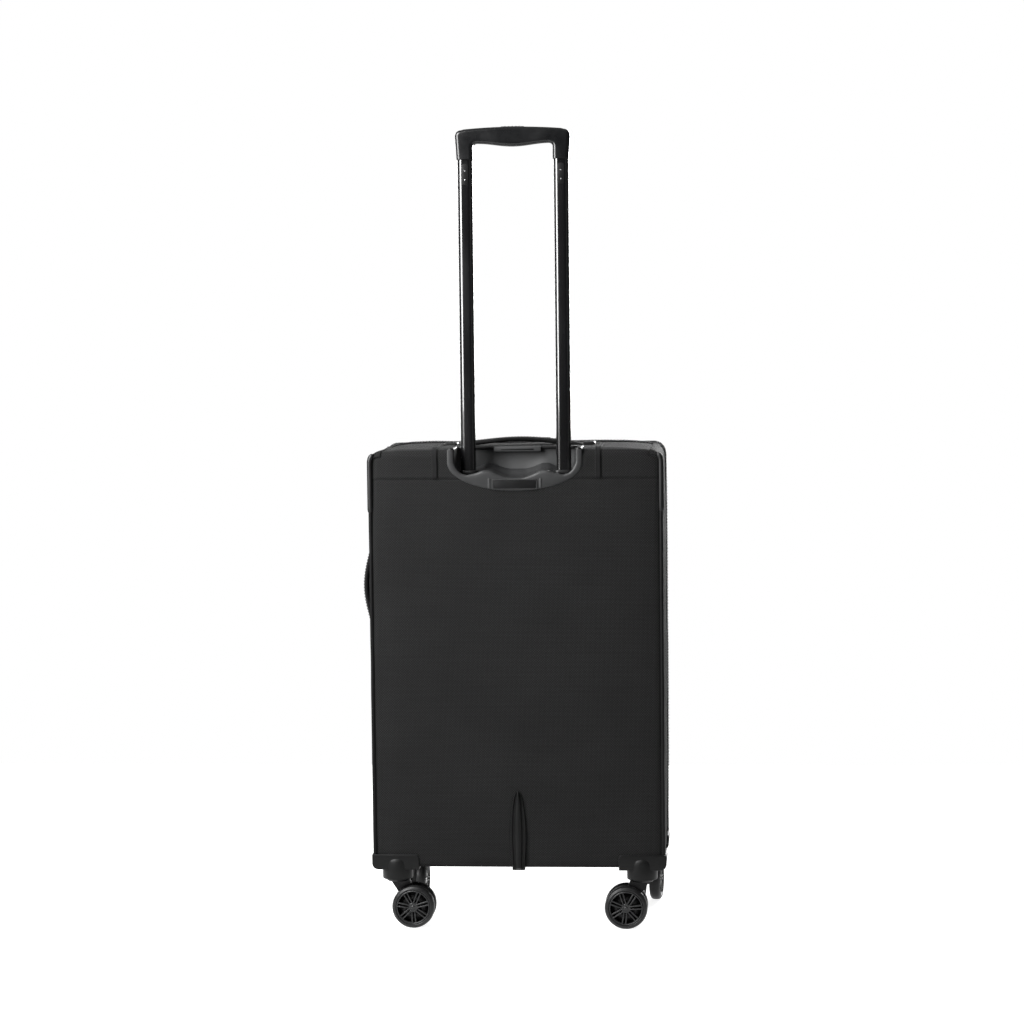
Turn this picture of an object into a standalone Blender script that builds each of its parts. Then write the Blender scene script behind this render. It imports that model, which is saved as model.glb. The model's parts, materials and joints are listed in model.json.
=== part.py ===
"""Softside upright suitcase with four twin-wheel casters and a single-stage trolley handle.

Frame: metres, +Z up, the floor at z = 0. The back panel faces -Y, the pocketed lid faces +Y, and +X is
to the right of someone who looks at the back panel. The trolley handle is drawn out, and the lid shut.
Everything is modelled about the case's own middle plane and moved by CENTRE_SHIFT at the end, because
the side handle stands out on one side only and the origin is the middle of the whole object.
"""
from math import cos, pi, radians, sin

import bmesh
import bpy
from mathutils import Matrix, Vector

# ---- driving dimensions ------------------------------------------------------------------------
GAP = 0.0003                 # left between pieces that touch

CASE_HALF = 0.2025           # outer face of a side wall from the middle plane
CASE_BOTTOM = 0.0865
CASE_TOP = 0.669
CORNER = 0.016               # radius of the case's four outer edges, seen from the back
WALL = 0.0035                # fabric with its foam and board
BACK_FACE = -0.130           # outer face of the back panel
WALL_REAR = -0.1257          # rear edge of the side, top and bottom walls
TRAY_FRONT = 0.082           # front edge of the same walls
ZIP_HALF = 0.0046            # width of each half of the main zip
LID_DEPTH = 0.0204           # depth of the lid's own wall
TURN_UP = 0.1050             # height to which the bottom panel turns up at the sides

TRIM_BACK = -0.1333          # rear face of the plastic trim that lies on the back panel
TRIM_TOP = 0.6722            # top face of the trim that lies on the top panel
TRIM_LOW = 0.083             # lower face of the trim under the case
TRIM_SIDE = 0.2058           # outer face of the caster housings' side plates
HOUSING_TOP = 0.1045
HOUSING_INNER = 0.1395       # inner edge of a caster housing from the middle plane

PIPING_R = 0.003
GUARD_R = 0.0036
GUARD_TURN = 72              # degrees of the corner that the guard follows
GUARD_END = 0.581            # height at which the moulded corner guard ends and the piping goes on

POLE_X = 0.0665              # pole axis from the middle plane
POLE_Y = -0.103
POLE_WIDTH, POLE_DEPTH, POLE_WALL = 0.0210, 0.0140, 0.0013
POLE_CORNER = 0.005          # radius of a pole's long edges
SLEEVE_WALL = 0.0010
SLEEVE_PLAY = 0.0003         # all round a pole in its sleeve
SLEEVE_TOP = 0.6335
POLE_LOW, POLE_TOP = 0.555, 1.0695
COLLAR_LOW, COLLAR_TOP = 0.6285, 0.6405
COLLAR_EDGE = 0.0045         # width of a collar round its pole

CUP_HALF = 0.084             # half-width of the recess that takes the grip
CUP_DROP = 0.026             # depth of the recess's round part
CUP_SPRING = 0.652           # height at which the round part begins
CUP_WALL = 0.0025
CUP_BACK = -0.0725           # innermost face of the recess
BEZEL_HALF, BEZEL_DROP = 0.0936, 0.039
RIM_REACH = 0.0035           # how far the rim lies over the top panel behind the recess
TAG_HALF, TAG_DEPTH, TAG_LOW = 0.033, 0.006, 0.664

GRIP_TOP = 1.114
GRIP_HALF = 0.0797
GRIP_DEPTH = 0.022
GRIP_LEG_LOW = 1.070
BUTTON_HALF_X, BUTTON_HALF_Y = 0.0168, 0.0066
BUTTON_LOW, BUTTON_TOP = 1.1065, 1.1148

TOP_HANDLE_Y = -0.020
TOP_HANDLE_HALF = 0.088
TOP_HANDLE_RISE = 0.0075
SIDE_HANDLE_Y, SIDE_HANDLE_Z = -0.030, 0.473
SIDE_HANDLE_HALF = 0.070
SIDE_HANDLE_OUT = 0.2235     # outermost point of the side handle from the middle plane
CAP_LENGTH, CAP_HALF_WIDTH = 0.0185, 0.017
TOP_CAP_HEIGHT, SIDE_CAP_HEIGHT = 0.0070, 0.0100
TOP_STRAP_THICK, SIDE_STRAP_THICK, STRAP_WIDTH = 0.006, 0.007, 0.030

SKID_TOP, SKID_SPRING = 0.195, 0.130          # tip of the rail, and where its sides begin to close
SKID_HALF, SKID_FOOT_HALF = 0.0112, 0.0090
RIDGE_HEIGHT = 0.0042

CASTER_X = 0.1715
CASTER_Y = {"rear": -0.113, "front": 0.056}
BELL_R, BELL_LOW, BELL_TOP = 0.020, 0.0715, 0.1015
TRAIL = 0.0225               # swivel axis to wheel axle
WHEEL_R = 0.030
WHEEL_SIDES = 24
AXLE_Z = WHEEL_R * cos(pi / WHEEL_SIDES)      # the wheel stands on a flat of its rim
AXLE_R = 0.003
WHEEL_IN, WHEEL_OUT = 0.0045, 0.0205          # inner and outer face from the caster's middle
HUB_R = 0.0222
FORK_HALF = 0.0039            # half-thickness of a fork's web
TABLE_R, TABLE_LOW = 0.0170, 0.0650           # turntable that a fork carries under its bell
HEADINGS = {"rear_left": 0, "rear_right": 180, "front_left": 88, "front_right": 84}

POCKETS = {"upper": (0.440, 0.620, 0.0134), "lower": (0.125, 0.425, 0.0204)}   # low, high, depth
POCKET_HALF = 0.165
SLIDER_X = 0.0066            # main zip's sliders from the middle plane

CENTRE_SHIFT = (SIDE_HANDLE_OUT - TRIM_SIDE) / 2

# ---- materials: colour, roughness, metallic ------------------------------------------------------
FINISHES = {
    "shell_fabric": ((0.028, 0.029, 0.030), 0.85, 0.0),
    "piping": ((0.045, 0.046, 0.047), 0.60, 0.0),
    "webbing": ((0.010, 0.010, 0.011), 0.75, 0.0),
    "trim_plastic": ((0.050, 0.051, 0.052), 0.50, 0.0),
    "grip_plastic": ((0.018, 0.018, 0.019), 0.35, 0.0),
    "pole_metal": ((0.012, 0.012, 0.013), 0.22, 1.0),
    "sleeve_metal": ((0.420, 0.425, 0.430), 0.40, 1.0),
    "zip_tape": ((0.012, 0.012, 0.012), 0.70, 0.0),
    "zip_metal": ((0.090, 0.090, 0.095), 0.30, 1.0),
    "hub_plastic": ((0.120, 0.122, 0.125), 0.45, 0.0),
    "tyre": ((0.140, 0.142, 0.145), 0.65, 0.0),
}


def finish(name):
    """The material of that name, made on first use."""
    if name in bpy.data.materials:
        return bpy.data.materials[name]
    colour, roughness, metallic = FINISHES[name]
    material = bpy.data.materials.new(name)
    material.use_nodes = True
    shader = material.node_tree.nodes["Principled BSDF"]
    shader.inputs["Base Color"].default_value = (*colour, 1.0)
    shader.inputs["Roughness"].default_value = roughness
    shader.inputs["Metallic"].default_value = metallic
    material.diffuse_color = (*colour, 1.0)
    return material


# ---- outlines: closed lists of (u, v) points -----------------------------------------------------
def arc(u, v, radius_u, radius_v, start, end, steps):
    """Points of an elliptical arc about (u, v), angles in degrees."""
    angles = [radians(start + (end - start) * i / steps) for i in range(steps + 1)]
    return [(u + radius_u * cos(a), v + radius_v * sin(a)) for a in angles]


def rounded(u0, u1, v0, v1, radius, steps=4):
    """A rectangle with round corners."""
    corners = [(u1 - radius, v1 - radius, 0), (u0 + radius, v1 - radius, 90),
               (u0 + radius, v0 + radius, 180), (u1 - radius, v0 + radius, 270)]
    points = []
    for u, v, start in corners:
        points += arc(u, v, radius, radius, start, start + 90, steps)
    return points


def pole_outline(x, growth):
    """Section of a pole about x, made larger or smaller all round by growth."""
    half_width, half_depth = POLE_WIDTH / 2 + growth, POLE_DEPTH / 2 + growth
    return rounded(x - half_width, x + half_width, POLE_Y - half_depth, POLE_Y + half_depth,
                   POLE_CORNER + growth)


def case_outline(inset, steps=4):
    """The case seen from the back, drawn in by inset."""
    return rounded(-CASE_HALF + inset, CASE_HALF - inset, CASE_BOTTOM + inset, CASE_TOP - inset,
                   CORNER - inset, steps)


def scoop_outline(half, drop, top, steps=16):
    """The recess seen from the back: straight sides above, half an ellipse below."""
    return [(half, top), (-half, top)] + arc(0, CUP_SPRING, half, drop, 180, 360, steps)


# ---- solids ---------------------------------------------------------------------------------------
PLANES = {
    "XY": Matrix.Identity(4),
    "XZ": Matrix(((1, 0, 0, 0), (0, 0, -1, 0), (0, 1, 0, 0), (0, 0, 0, 1))),
    "YZ": Matrix(((0, 0, 1, 0), (1, 0, 0, 0), (0, 1, 0, 0), (0, 0, 0, 1))),
}


def link(name, mesh, slot, collection):
    solid = bpy.data.objects.new(name, mesh)
    collection.objects.link(solid)
    if slot:
        mesh.materials.clear()
        mesh.materials.append(finish(slot))
    return solid


def baked(thing):
    """The evaluated mesh of an object or curve, welded, with the object removed."""
    bpy.context.view_layer.update()
    graph = bpy.context.evaluated_depsgraph_get()
    mesh = bpy.data.meshes.new_from_object(thing.evaluated_get(graph))
    mesh.transform(thing.matrix_world)
    shape = bmesh.new()
    shape.from_mesh(mesh)
    bmesh.ops.remove_doubles(shape, verts=shape.verts, dist=1e-6)
    bmesh.ops.recalc_face_normals(shape, faces=shape.faces)
    shape.to_mesh(mesh)
    shape.free()
    bpy.data.objects.remove(thing)
    return mesh


def plate(name, slot, outlines, plane, low, high):
    """A flat piece: outlines drawn on a plane, the second and later ones holes, from low to high."""
    curve = bpy.data.curves.new(name, "CURVE")
    curve.dimensions, curve.fill_mode, curve.extrude = "2D", "BOTH", (high - low) / 2
    for outline in outlines:
        spline = curve.splines.new("POLY")
        spline.points.add(len(outline) - 1)
        for point, (u, v) in zip(spline.points, outline):
            point.co = (u, v, 0, 1)
        spline.use_cyclic_u = True
    drawing = bpy.data.objects.new(name, curve)
    parts.objects.link(drawing)
    mesh = baked(drawing)
    middle = (low + high) / 2
    mesh.transform(PLANES[plane] @ Matrix.Translation((0, 0, -middle if plane == "XZ" else middle)))
    return link(name, mesh, slot, parts)


def box(name, slot, x, y, z, round_edges=0.0):
    """A box between the given limits, with its edges rounded by a Bevel."""
    mesh = bpy.data.meshes.new(name)
    shape = bmesh.new()
    bmesh.ops.create_cube(shape, size=1)
    size = Vector((x[1] - x[0], y[1] - y[0], z[1] - z[0]))
    middle = Vector((sum(x) / 2, sum(y) / 2, sum(z) / 2))
    shape.transform(Matrix.Translation(middle) @ Matrix.Diagonal((*size, 1)))
    shape.to_mesh(mesh)
    shape.free()
    solid = link(name, mesh, slot, parts)
    return rounded_edges(solid, round_edges, 2) if round_edges else solid


def rounded_edges(solid, width, segments, angle=50):
    bevel = solid.modifiers.new("round", "BEVEL")
    bevel.width, bevel.segments, bevel.limit_method = width, segments, "ANGLE"
    bevel.angle_limit = radians(angle)
    return rebuild(solid)


def rebuild(solid):
    """The same object with its modifiers applied."""
    name, slots = solid.name, [slot.name for slot in solid.data.materials]
    solid.name = name + "_draft"
    return link(name, baked(solid), slots[0] if slots else None, parts)


def rod(name, slot, radius, start, end, sides):
    """A cylinder from start to end."""
    mesh = bpy.data.meshes.new(name)
    shape = bmesh.new()
    run = Vector(end) - Vector(start)
    turn = Vector((0, 0, 1)).rotation_difference(run).to_matrix().to_4x4()
    bmesh.ops.create_cone(shape, cap_ends=True, segments=sides, radius1=radius, radius2=radius,
                          depth=run.length,
                          matrix=Matrix.Translation((Vector(start) + Vector(end)) / 2) @ turn)
    shape.to_mesh(mesh)
    shape.free()
    return link(name, mesh, slot, parts)


def turned(name, slot, profile, sides, closed=False, phase=0.0):
    """A profile of (radius, height) points, from top to bottom, turned about Z."""
    mesh = bpy.data.meshes.new(name)
    edges = [(i, i + 1) for i in range(len(profile) - 1)]
    if closed:
        edges.append((len(profile) - 1, 0))
    mesh.from_pydata([(r, 0, h) for r, h in profile], edges, [])
    mesh.transform(Matrix.Rotation(phase, 4, "Z"))
    solid = link(name, mesh, slot, parts)
    screw = solid.modifiers.new("turn", "SCREW")
    screw.steps = screw.render_steps = sides
    screw.use_merge_vertices, screw.merge_threshold = True, 0.00001
    return rebuild(solid)


def pipe(name, slot, points, radius, closed=False):
    """A round tube along points."""
    curve = bpy.data.curves.new(name, "CURVE")
    curve.dimensions, curve.bevel_depth = "3D", radius
    curve.bevel_resolution, curve.use_fill_caps = 2, True
    spline = curve.splines.new("POLY")
    spline.points.add(len(points) - 1)
    for point, place in zip(spline.points, points):
        point.co = (*place, 1)
    spline.use_cyclic_u = closed
    drawing = bpy.data.objects.new(name + "_line", curve)
    parts.objects.link(drawing)
    return link(name, baked(drawing), slot, parts)


def boolean(solid, tool, operation):
    """The solid cut by, or joined with, a tool that is used up."""
    step = solid.modifiers.new(operation.lower(), "BOOLEAN")
    step.operation, step.object = operation, tool
    result = rebuild(solid)
    bpy.data.objects.remove(tool)
    return result


def cut(solid, *tools):
    for tool in tools:
        solid = boolean(solid, tool, "DIFFERENCE")
    return solid


def join(solid, *tools):
    for tool in tools:
        solid = boolean(solid, tool, "UNION")
    return solid


def smooth(solid):
    """Shade a round piece smooth, with its sharp edges kept."""
    solid.data.shade_smooth()
    solid.data.set_sharp_from_angle(angle=radians(35))
    return solid


def origin_at(solid, point):
    """Put a moving piece's origin on its joint."""
    solid.data.transform(Matrix.Translation(-Vector(point)))
    solid.location = point
    return solid


# ---- the case --------------------------------------------------------------------------------------
def back_panel():
    edge = CASE_HALF - 0.0043
    outline = rounded(-edge, edge, CASE_BOTTOM + GAP, CASE_TOP - 0.0043, 0.0117)
    panel = plate("back_panel", "shell_fabric", [outline], "XZ", BACK_FACE, BACK_FACE + WALL)
    reach = CUP_WALL + 0.0004
    opening = scoop_outline(CUP_HALF + reach, CUP_DROP + reach, CASE_TOP + 0.01)
    panel = cut(panel, plate("opening", None, [opening], "XZ", BACK_FACE - 0.01, BACK_FACE + 0.01))
    for side in (-1, 1):
        panel = cut(panel, caster_clearance(side, "rear"))
    return panel


def caster_clearance(side, row):
    """The hole that a caster's bell needs in the fabric."""
    place = (side * CASTER_X, CASTER_Y[row])
    return rod("clearance", None, BELL_R + 0.0004, (*place, 0.05), (*place, BELL_TOP + 0.0008), 24)


def side_panel(name, side):
    inner, outer = sorted((side * (CASE_HALF - WALL), side * CASE_HALF))
    box(name, "shell_fabric", (inner, outer), (WALL_REAR, TRAY_FRONT), (TURN_UP + GAP, CASE_TOP - CORNER))


def wrap_outline(end, bend_z, direction):
    """A wall with both corners turned and its ends at height end: direction 1 above, -1 below."""
    half = []
    for inset in (0, WALL):
        radius = CORNER - inset
        bend = arc(CASE_HALF - CORNER, bend_z, radius, direction * radius, 0, 90, 5)
        half.append(bend if end == bend_z else [(CASE_HALF - inset, end)] + bend)
    outer, inner = half
    return (outer + [(-u, v) for u, v in reversed(outer)]
            + [(-u, v) for u, v in inner] + list(reversed(inner)))


def top_panel():
    bend_z = CASE_TOP - CORNER
    outline = [(u, max(v, bend_z + GAP)) for u, v in wrap_outline(bend_z, bend_z, 1)]
    panel = plate("top_panel", "shell_fabric", [outline], "XZ", WALL_REAR, TRAY_FRONT)
    reach = CUP_HALF + CUP_WALL + 0.0004
    cut(panel, box("opening", None, (-reach, reach), (-0.2, CUP_BACK + CUP_WALL + 0.0004), (0.6, 0.7)))


def bottom_panel():
    outline = wrap_outline(TURN_UP, CASE_BOTTOM + CORNER, -1)
    panel = plate("bottom_panel", "shell_fabric", [outline], "XZ", WALL_REAR, TRAY_FRONT)
    for side in (-1, 1):
        for row in CASTER_Y:
            panel = cut(panel, caster_clearance(side, row))


def rear_edges():
    """Piping down both rear edges, and the moulded guards over the two upper corners."""
    for name, side in (("left", -1), ("right", 1)):
        x, y = side * (CASE_HALF - 0.0005), BACK_FACE + 0.0008
        smooth(rod("rear_piping_" + name, "piping", PIPING_R, (x, y, HOUSING_TOP + 0.0008),
                   (x, y, GUARD_END - GAP), 12))
        bend = arc(CASE_HALF - CORNER, CASE_TOP - CORNER, CORNER - GAP, CORNER - GAP, 0, GUARD_TURN, 6)
        line = [(CASE_HALF - GAP, GUARD_END)] + bend
        path = [(side * u, BACK_FACE + 0.0004, v) for u, v in line]
        smooth(pipe("corner_guard_" + name, "piping", path, GUARD_R))


def recess_cup():
    """The moulded recess in the top rear edge that takes the grip, with a collar round each pole."""
    wall = CUP_WALL
    outer = scoop_outline(CUP_HALF + wall, CUP_DROP + wall, TRIM_TOP)
    inner = scoop_outline(CUP_HALF, CUP_DROP, TRIM_TOP + 0.02)
    cup = plate("recess_cup", "trim_plastic", [outer], "XZ", TRIM_BACK, CUP_BACK + wall)
    bezel = scoop_outline(BEZEL_HALF, BEZEL_DROP, TRIM_TOP)
    cup = join(cup, plate("bezel", None, [bezel], "XZ", TRIM_BACK, BACK_FACE - GAP))
    rim = box("rim", None, (-BEZEL_HALF, BEZEL_HALF), (TRIM_BACK, CUP_BACK + wall + RIM_REACH),
              (CASE_TOP + GAP, TRIM_TOP))
    cup = join(cup, rim)
    cup = cut(cup, plate("hollow", None, [inner], "XZ", TRIM_BACK - 0.02, CUP_BACK))
    tag_span = (CUP_BACK - TAG_DEPTH, CUP_BACK + 0.001)
    cup = join(cup, box("tag_frame", None, (-TAG_HALF, TAG_HALF), tag_span, (TAG_LOW, TRIM_TOP - GAP)))
    for side in (-1, 1):
        x = side * POLE_X
        collar = pole_outline(x, COLLAR_EDGE)
        cup = join(cup, plate("collar", None, [collar], "XY", COLLAR_LOW, COLLAR_TOP))
        sleeve = pole_outline(x, SLEEVE_PLAY + SLEEVE_WALL + GAP)
        cup = cut(cup, plate("sleeve_hole", None, [sleeve], "XY", 0.60, SLEEVE_TOP + GAP),
                  plate("pole_hole", None, [pole_outline(x, 0.0004)], "XY", 0.62, 0.66))
    return cup


def skid_rail():
    """The bullet-shaped rail that guards the back's lower edge on steps."""
    side = arc(0, SKID_SPRING, SKID_HALF, SKID_TOP - SKID_SPRING, 0, 90, 8)
    half = [(SKID_FOOT_HALF, TRIM_LOW)] + side
    outline = half + [(-u, v) for u, v in reversed(half[:-1])]
    rail = plate("skid_rail", "trim_plastic", [outline], "XZ", TRIM_BACK, BACK_FACE - GAP)
    side = arc(0, SKID_SPRING, 0.0054, SKID_TOP - 0.008 - SKID_SPRING, 0, 90, 8)
    half = arc(0, TRIM_LOW + 0.007, 0.0052, 0.0055, -90, 0, 4)[1:] + side
    outline = half + [(-u, v) for u, v in reversed(half[:-1])] + [(0, TRIM_LOW + 0.0015)]
    rail = join(rail, plate("ridge", None, [outline], "XZ", TRIM_BACK - RIDGE_HEIGHT, TRIM_BACK + 0.001))
    join(rail, box("lip", None, (-SKID_FOOT_HALF + 0.0006, SKID_FOOT_HALF - 0.0006),
                   (TRIM_BACK + 0.001, -0.112), (TRIM_LOW + 0.0002, CASE_BOTTOM - GAP)))


def strap(name, slot, half, rise, thickness, place, upright):
    """A padded strap handle: a flat arch whose ends lie on the wall, arched towards +Z or -X."""
    def height(t):
        return rise * (0.5 + 0.5 * cos(pi * t / half)) ** 0.8
    steps = [-half + 2 * half * i / 14 for i in range(15)]
    outline = [(t, height(t) + thickness) for t in steps] + [(t, height(t)) for t in reversed(steps)]
    if upright:
        outline = [(-v + place[0], t + place[2]) for t, v in outline]
    else:
        outline = [(t + place[0], v + place[2]) for t, v in outline]
    solid = plate(name, slot, [outline], "XZ", place[1] - STRAP_WIDTH / 2, place[1] + STRAP_WIDTH / 2)
    return origin_at(smooth(solid), place)


def carry_handles():
    """The top handle and the side handle, with the caps that hold their ends."""
    top = (0, TOP_HANDLE_Y, CASE_TOP + GAP)
    strap("top_handle", "webbing", TOP_HANDLE_HALF, TOP_HANDLE_RISE, TOP_STRAP_THICK, top, False)
    side_rise = SIDE_HANDLE_OUT - CASE_HALF - GAP - SIDE_STRAP_THICK
    side = (-CASE_HALF - GAP, SIDE_HANDLE_Y, SIDE_HANDLE_Z)
    strap("side_handle", "webbing", SIDE_HANDLE_HALF, side_rise, SIDE_STRAP_THICK, side, True)
    for name, sign in (("left", -1), ("right", 1)):
        span = sorted(sign * (TOP_HANDLE_HALF + GAP + d) for d in (0, CAP_LENGTH))
        box("top_handle_cap_" + name, "trim_plastic", span,
            (TOP_HANDLE_Y - CAP_HALF_WIDTH, TOP_HANDLE_Y + CAP_HALF_WIDTH),
            (CASE_TOP + GAP, CASE_TOP + TOP_CAP_HEIGHT), 0.0025)
    for name, sign in (("lower", -1), ("upper", 1)):
        span = sorted(SIDE_HANDLE_Z + sign * (SIDE_HANDLE_HALF + GAP + d) for d in (0, CAP_LENGTH))
        box("side_handle_cap_" + name, "trim_plastic", (-CASE_HALF - SIDE_CAP_HEIGHT, -CASE_HALF - GAP),
            (SIDE_HANDLE_Y - CAP_HALF_WIDTH, SIDE_HANDLE_Y + CAP_HALF_WIDTH), span, 0.0025)


# ---- the trolley handle -----------------------------------------------------------------------------
def trolley():
    """Two fixed sleeves in the case, and the two poles and the grip that slide in them."""
    for name, side in (("left", -1), ("right", 1)):
        x = side * POLE_X
        sleeve = [pole_outline(x, SLEEVE_PLAY + SLEEVE_WALL), pole_outline(x, SLEEVE_PLAY)]
        smooth(plate("outer_tube_" + name, "sleeve_metal", sleeve, "XY", CASE_BOTTOM + WALL + GAP, SLEEVE_TOP))
        section = [pole_outline(x, 0), pole_outline(x, -POLE_WALL)]
        pole = plate("inner_tube_" + name, "pole_metal", section, "XY", POLE_LOW, POLE_TOP)
        origin_at(smooth(pole), (x, POLE_Y, POLE_TOP))


def grip():
    """The grip bar with a leg over each pole, crowned above and bulging below."""
    leg = 0.0113
    corner = arc(GRIP_HALF - 0.005, GRIP_TOP - 0.0085, 0.005, 0.005, 0, 90, 3)
    crown = [(x, GRIP_TOP - 0.0035 * (x / 0.0747) ** 2) for x in (0.056, 0.037, 0.0188)]
    fillet = arc(POLE_X - leg - 0.005, 1.0866, 0.005, 0.005, 0, 90, 3)
    belly = [(x, 1.0916 - 0.0043 * cos(pi * x / 0.1003) ** 2) for x in (0.036, 0.024, 0.012)]
    half = [(POLE_X + leg, GRIP_LEG_LOW)] + corner + crown
    under = [(POLE_X - leg, GRIP_LEG_LOW)] + fillet + belly
    outline = half + [(0, GRIP_TOP)] + [(-u, v) for u, v in reversed(half)]
    outline += [(-u, v) for u, v in under] + [(0, 1.0873)] + list(reversed(under))
    bar = plate("grip", "grip_plastic", [outline], "XZ", POLE_Y - GRIP_DEPTH / 2, POLE_Y + GRIP_DEPTH / 2)
    bar = rounded_edges(bar, 0.0045, 2, 60)
    gap = 0.0004
    bar = cut(bar, box("slot", None, (-BUTTON_HALF_X - gap, BUTTON_HALF_X + gap),
                       (POLE_Y - BUTTON_HALF_Y - gap, POLE_Y + BUTTON_HALF_Y + gap),
                       (BUTTON_LOW - 0.0033, 1.2)))
    for side in (-1, 1):
        plug = pole_outline(side * POLE_X, -POLE_WALL - GAP)
        bar = join(bar, plate("plug", None, [plug], "XY", GRIP_LEG_LOW - 0.025, GRIP_LEG_LOW + 0.004))
    origin_at(smooth(bar), (0, POLE_Y, GRIP_LEG_LOW))


def release_button():
    crown = [(x, BUTTON_TOP - 0.0035 * (x / 0.0747) ** 2 * 6) for x in (0.0150, 0.0075, 0)]
    half = [(BUTTON_HALF_X, BUTTON_LOW), (BUTTON_HALF_X, BUTTON_TOP - 0.0018)] + crown
    outline = half + [(-u, v) for u, v in reversed(half[:-1])]
    button = plate("release_button", "trim_plastic", [outline], "XZ", POLE_Y - BUTTON_HALF_Y,
                   POLE_Y + BUTTON_HALF_Y)
    origin_at(smooth(button), (0, POLE_Y, BUTTON_TOP))


# ---- the casters --------------------------------------------------------------------------------------
def caster_housing(name, side, row):
    """A corner moulding screwed under the case, with the bell that the fork turns in."""
    y = CASTER_Y[row]
    y_span = (TRIM_BACK, -0.075) if row == "rear" else (0.018, 0.0805)
    x_span = sorted((side * HOUSING_INNER, side * TRIM_SIDE))
    side_span = sorted((side * (CASE_HALF + GAP), side * TRIM_SIDE))
    solid = box(name, "trim_plastic", x_span, y_span, (TRIM_LOW, CASE_BOTTOM - GAP))
    solid = join(solid, box("side_plate", None, side_span, y_span, (TRIM_LOW, HOUSING_TOP)))
    if row == "rear":
        outline = rounded(*x_span, TRIM_LOW, HOUSING_TOP, 0.005, 2)
        solid = join(solid, plate("rear_plate", None, [outline], "XZ", TRIM_BACK, BACK_FACE - GAP))
    bell = turned("bell", None, [(0, BELL_TOP), (0.008, BELL_TOP - 0.0015), (0.0145, BELL_TOP - 0.006),
                                 (0.0185, BELL_TOP - 0.013), (BELL_R, BELL_TOP - 0.020),
                                 (BELL_R, BELL_LOW), (0, BELL_LOW)], 24)
    bell.location = (side * CASTER_X, y, 0)
    smooth(join(solid, bell))


def fork_mesh():
    """Turntable, web and axle stubs of a fork, about its swivel axis, trailing towards +X."""
    low = arc(TRAIL, AXLE_Z, 0.0085, 0.0085, 200, 380, 8)
    web = [(0.0155, 0.0690), (-0.0125, 0.0690)] + low
    solid = plate("fork", "trim_plastic", [web], "XZ", -FORK_HALF, FORK_HALF)
    top = BELL_LOW - GAP
    table = turned("table", None, [(0, top), (TABLE_R, top), (TABLE_R, TABLE_LOW + 0.0022),
                                   (TABLE_R - 0.0020, TABLE_LOW), (0, TABLE_LOW)], 20)
    solid = join(solid, table)
    reach = WHEEL_OUT - 0.0013
    axle = rod("axle", None, AXLE_R, (TRAIL, -reach, AXLE_Z), (TRAIL, reach, AXLE_Z), 12)
    solid = join(solid, axle)
    return baked_mesh(smooth(solid))


def wheel_meshes():
    """Hub and tyre of one wheel about its own axle, which lies along Y, outer face at +Y."""
    inner, outer = WHEEL_IN, WHEEL_OUT
    half_turn = pi / WHEEL_SIDES
    bore = AXLE_R + 0.0003
    hub = turned("hub", "hub_plastic",
                 [(0.0065, outer - 0.0010), (HUB_R - 0.0028, outer - 0.0030), (HUB_R - 0.0016, outer - 0.0006),
                  (HUB_R, outer - 0.0006), (HUB_R, inner + 0.0012), (0.0065, inner + 0.0006),
                  (bore, inner + 0.0006), (bore, outer - 0.0010)], WHEEL_SIDES, True, half_turn)
    seat = HUB_R + GAP
    tyre = turned("tyre", "tyre",
                  [(seat, outer - 0.0004), (0.0270, outer), (WHEEL_R, outer - 0.0035),
                   (WHEEL_R, inner + 0.0035), (0.0270, inner), (seat, inner + 0.0010)],
                  WHEEL_SIDES, True, half_turn)
    meshes = []
    for solid in (hub, tyre):
        solid = smooth(solid)
        mesh = baked_mesh(solid)
        mesh.transform(Matrix.Rotation(radians(-90), 4, "X"))
        meshes.append(mesh)
    return meshes


def baked_mesh(solid):
    """A mesh on its own, ready to be shared by several objects."""
    mesh = solid.data
    bpy.data.objects.remove(solid)
    return mesh


def axis_empty(name, place, turn=0.0, parent=None):
    empty = bpy.data.objects.new(name, None)
    parts.objects.link(empty)
    empty.location, empty.rotation_euler.z = place, turn
    empty.empty_display_size, empty.parent = 0.02, parent
    return empty


def casters():
    """Four swivelling forks with a pair of wheels each."""
    fork = fork_mesh()
    hub, tyre = wheel_meshes()
    for corner, heading in HEADINGS.items():
        row, hand = corner.split("_")
        side = -1 if hand == "left" else 1
        caster_housing("caster_housing_" + corner, side, row)
        swivel = axis_empty("swivel_" + corner, (side * CASTER_X, CASTER_Y[row], 0), radians(heading))
        link("caster_fork_" + corner, fork, None, parts).parent = swivel
        for letter, turn in (("a", pi), ("b", 0)):
            axle = axis_empty(f"axle_{corner}_{letter}", (TRAIL, 0, AXLE_Z), turn, swivel)
            link(f"wheel_hub_{corner}_{letter}", hub, None, parts).parent = axle
            link(f"wheel_tyre_{corner}_{letter}", tyre, None, parts).parent = axle


# ---- the zips and the lid -------------------------------------------------------------------------------
def main_zip():
    """Both halves of the main zip: thin hoops between the tray and the lid."""
    start = TRAY_FRONT + GAP
    for name in ("main_zip_tray", "main_zip_lid"):
        plate(name, "zip_tape", [case_outline(-0.0008), case_outline(WALL)], "XZ", start, start + ZIP_HALF)
        start += ZIP_HALF + GAP
    return start


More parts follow.
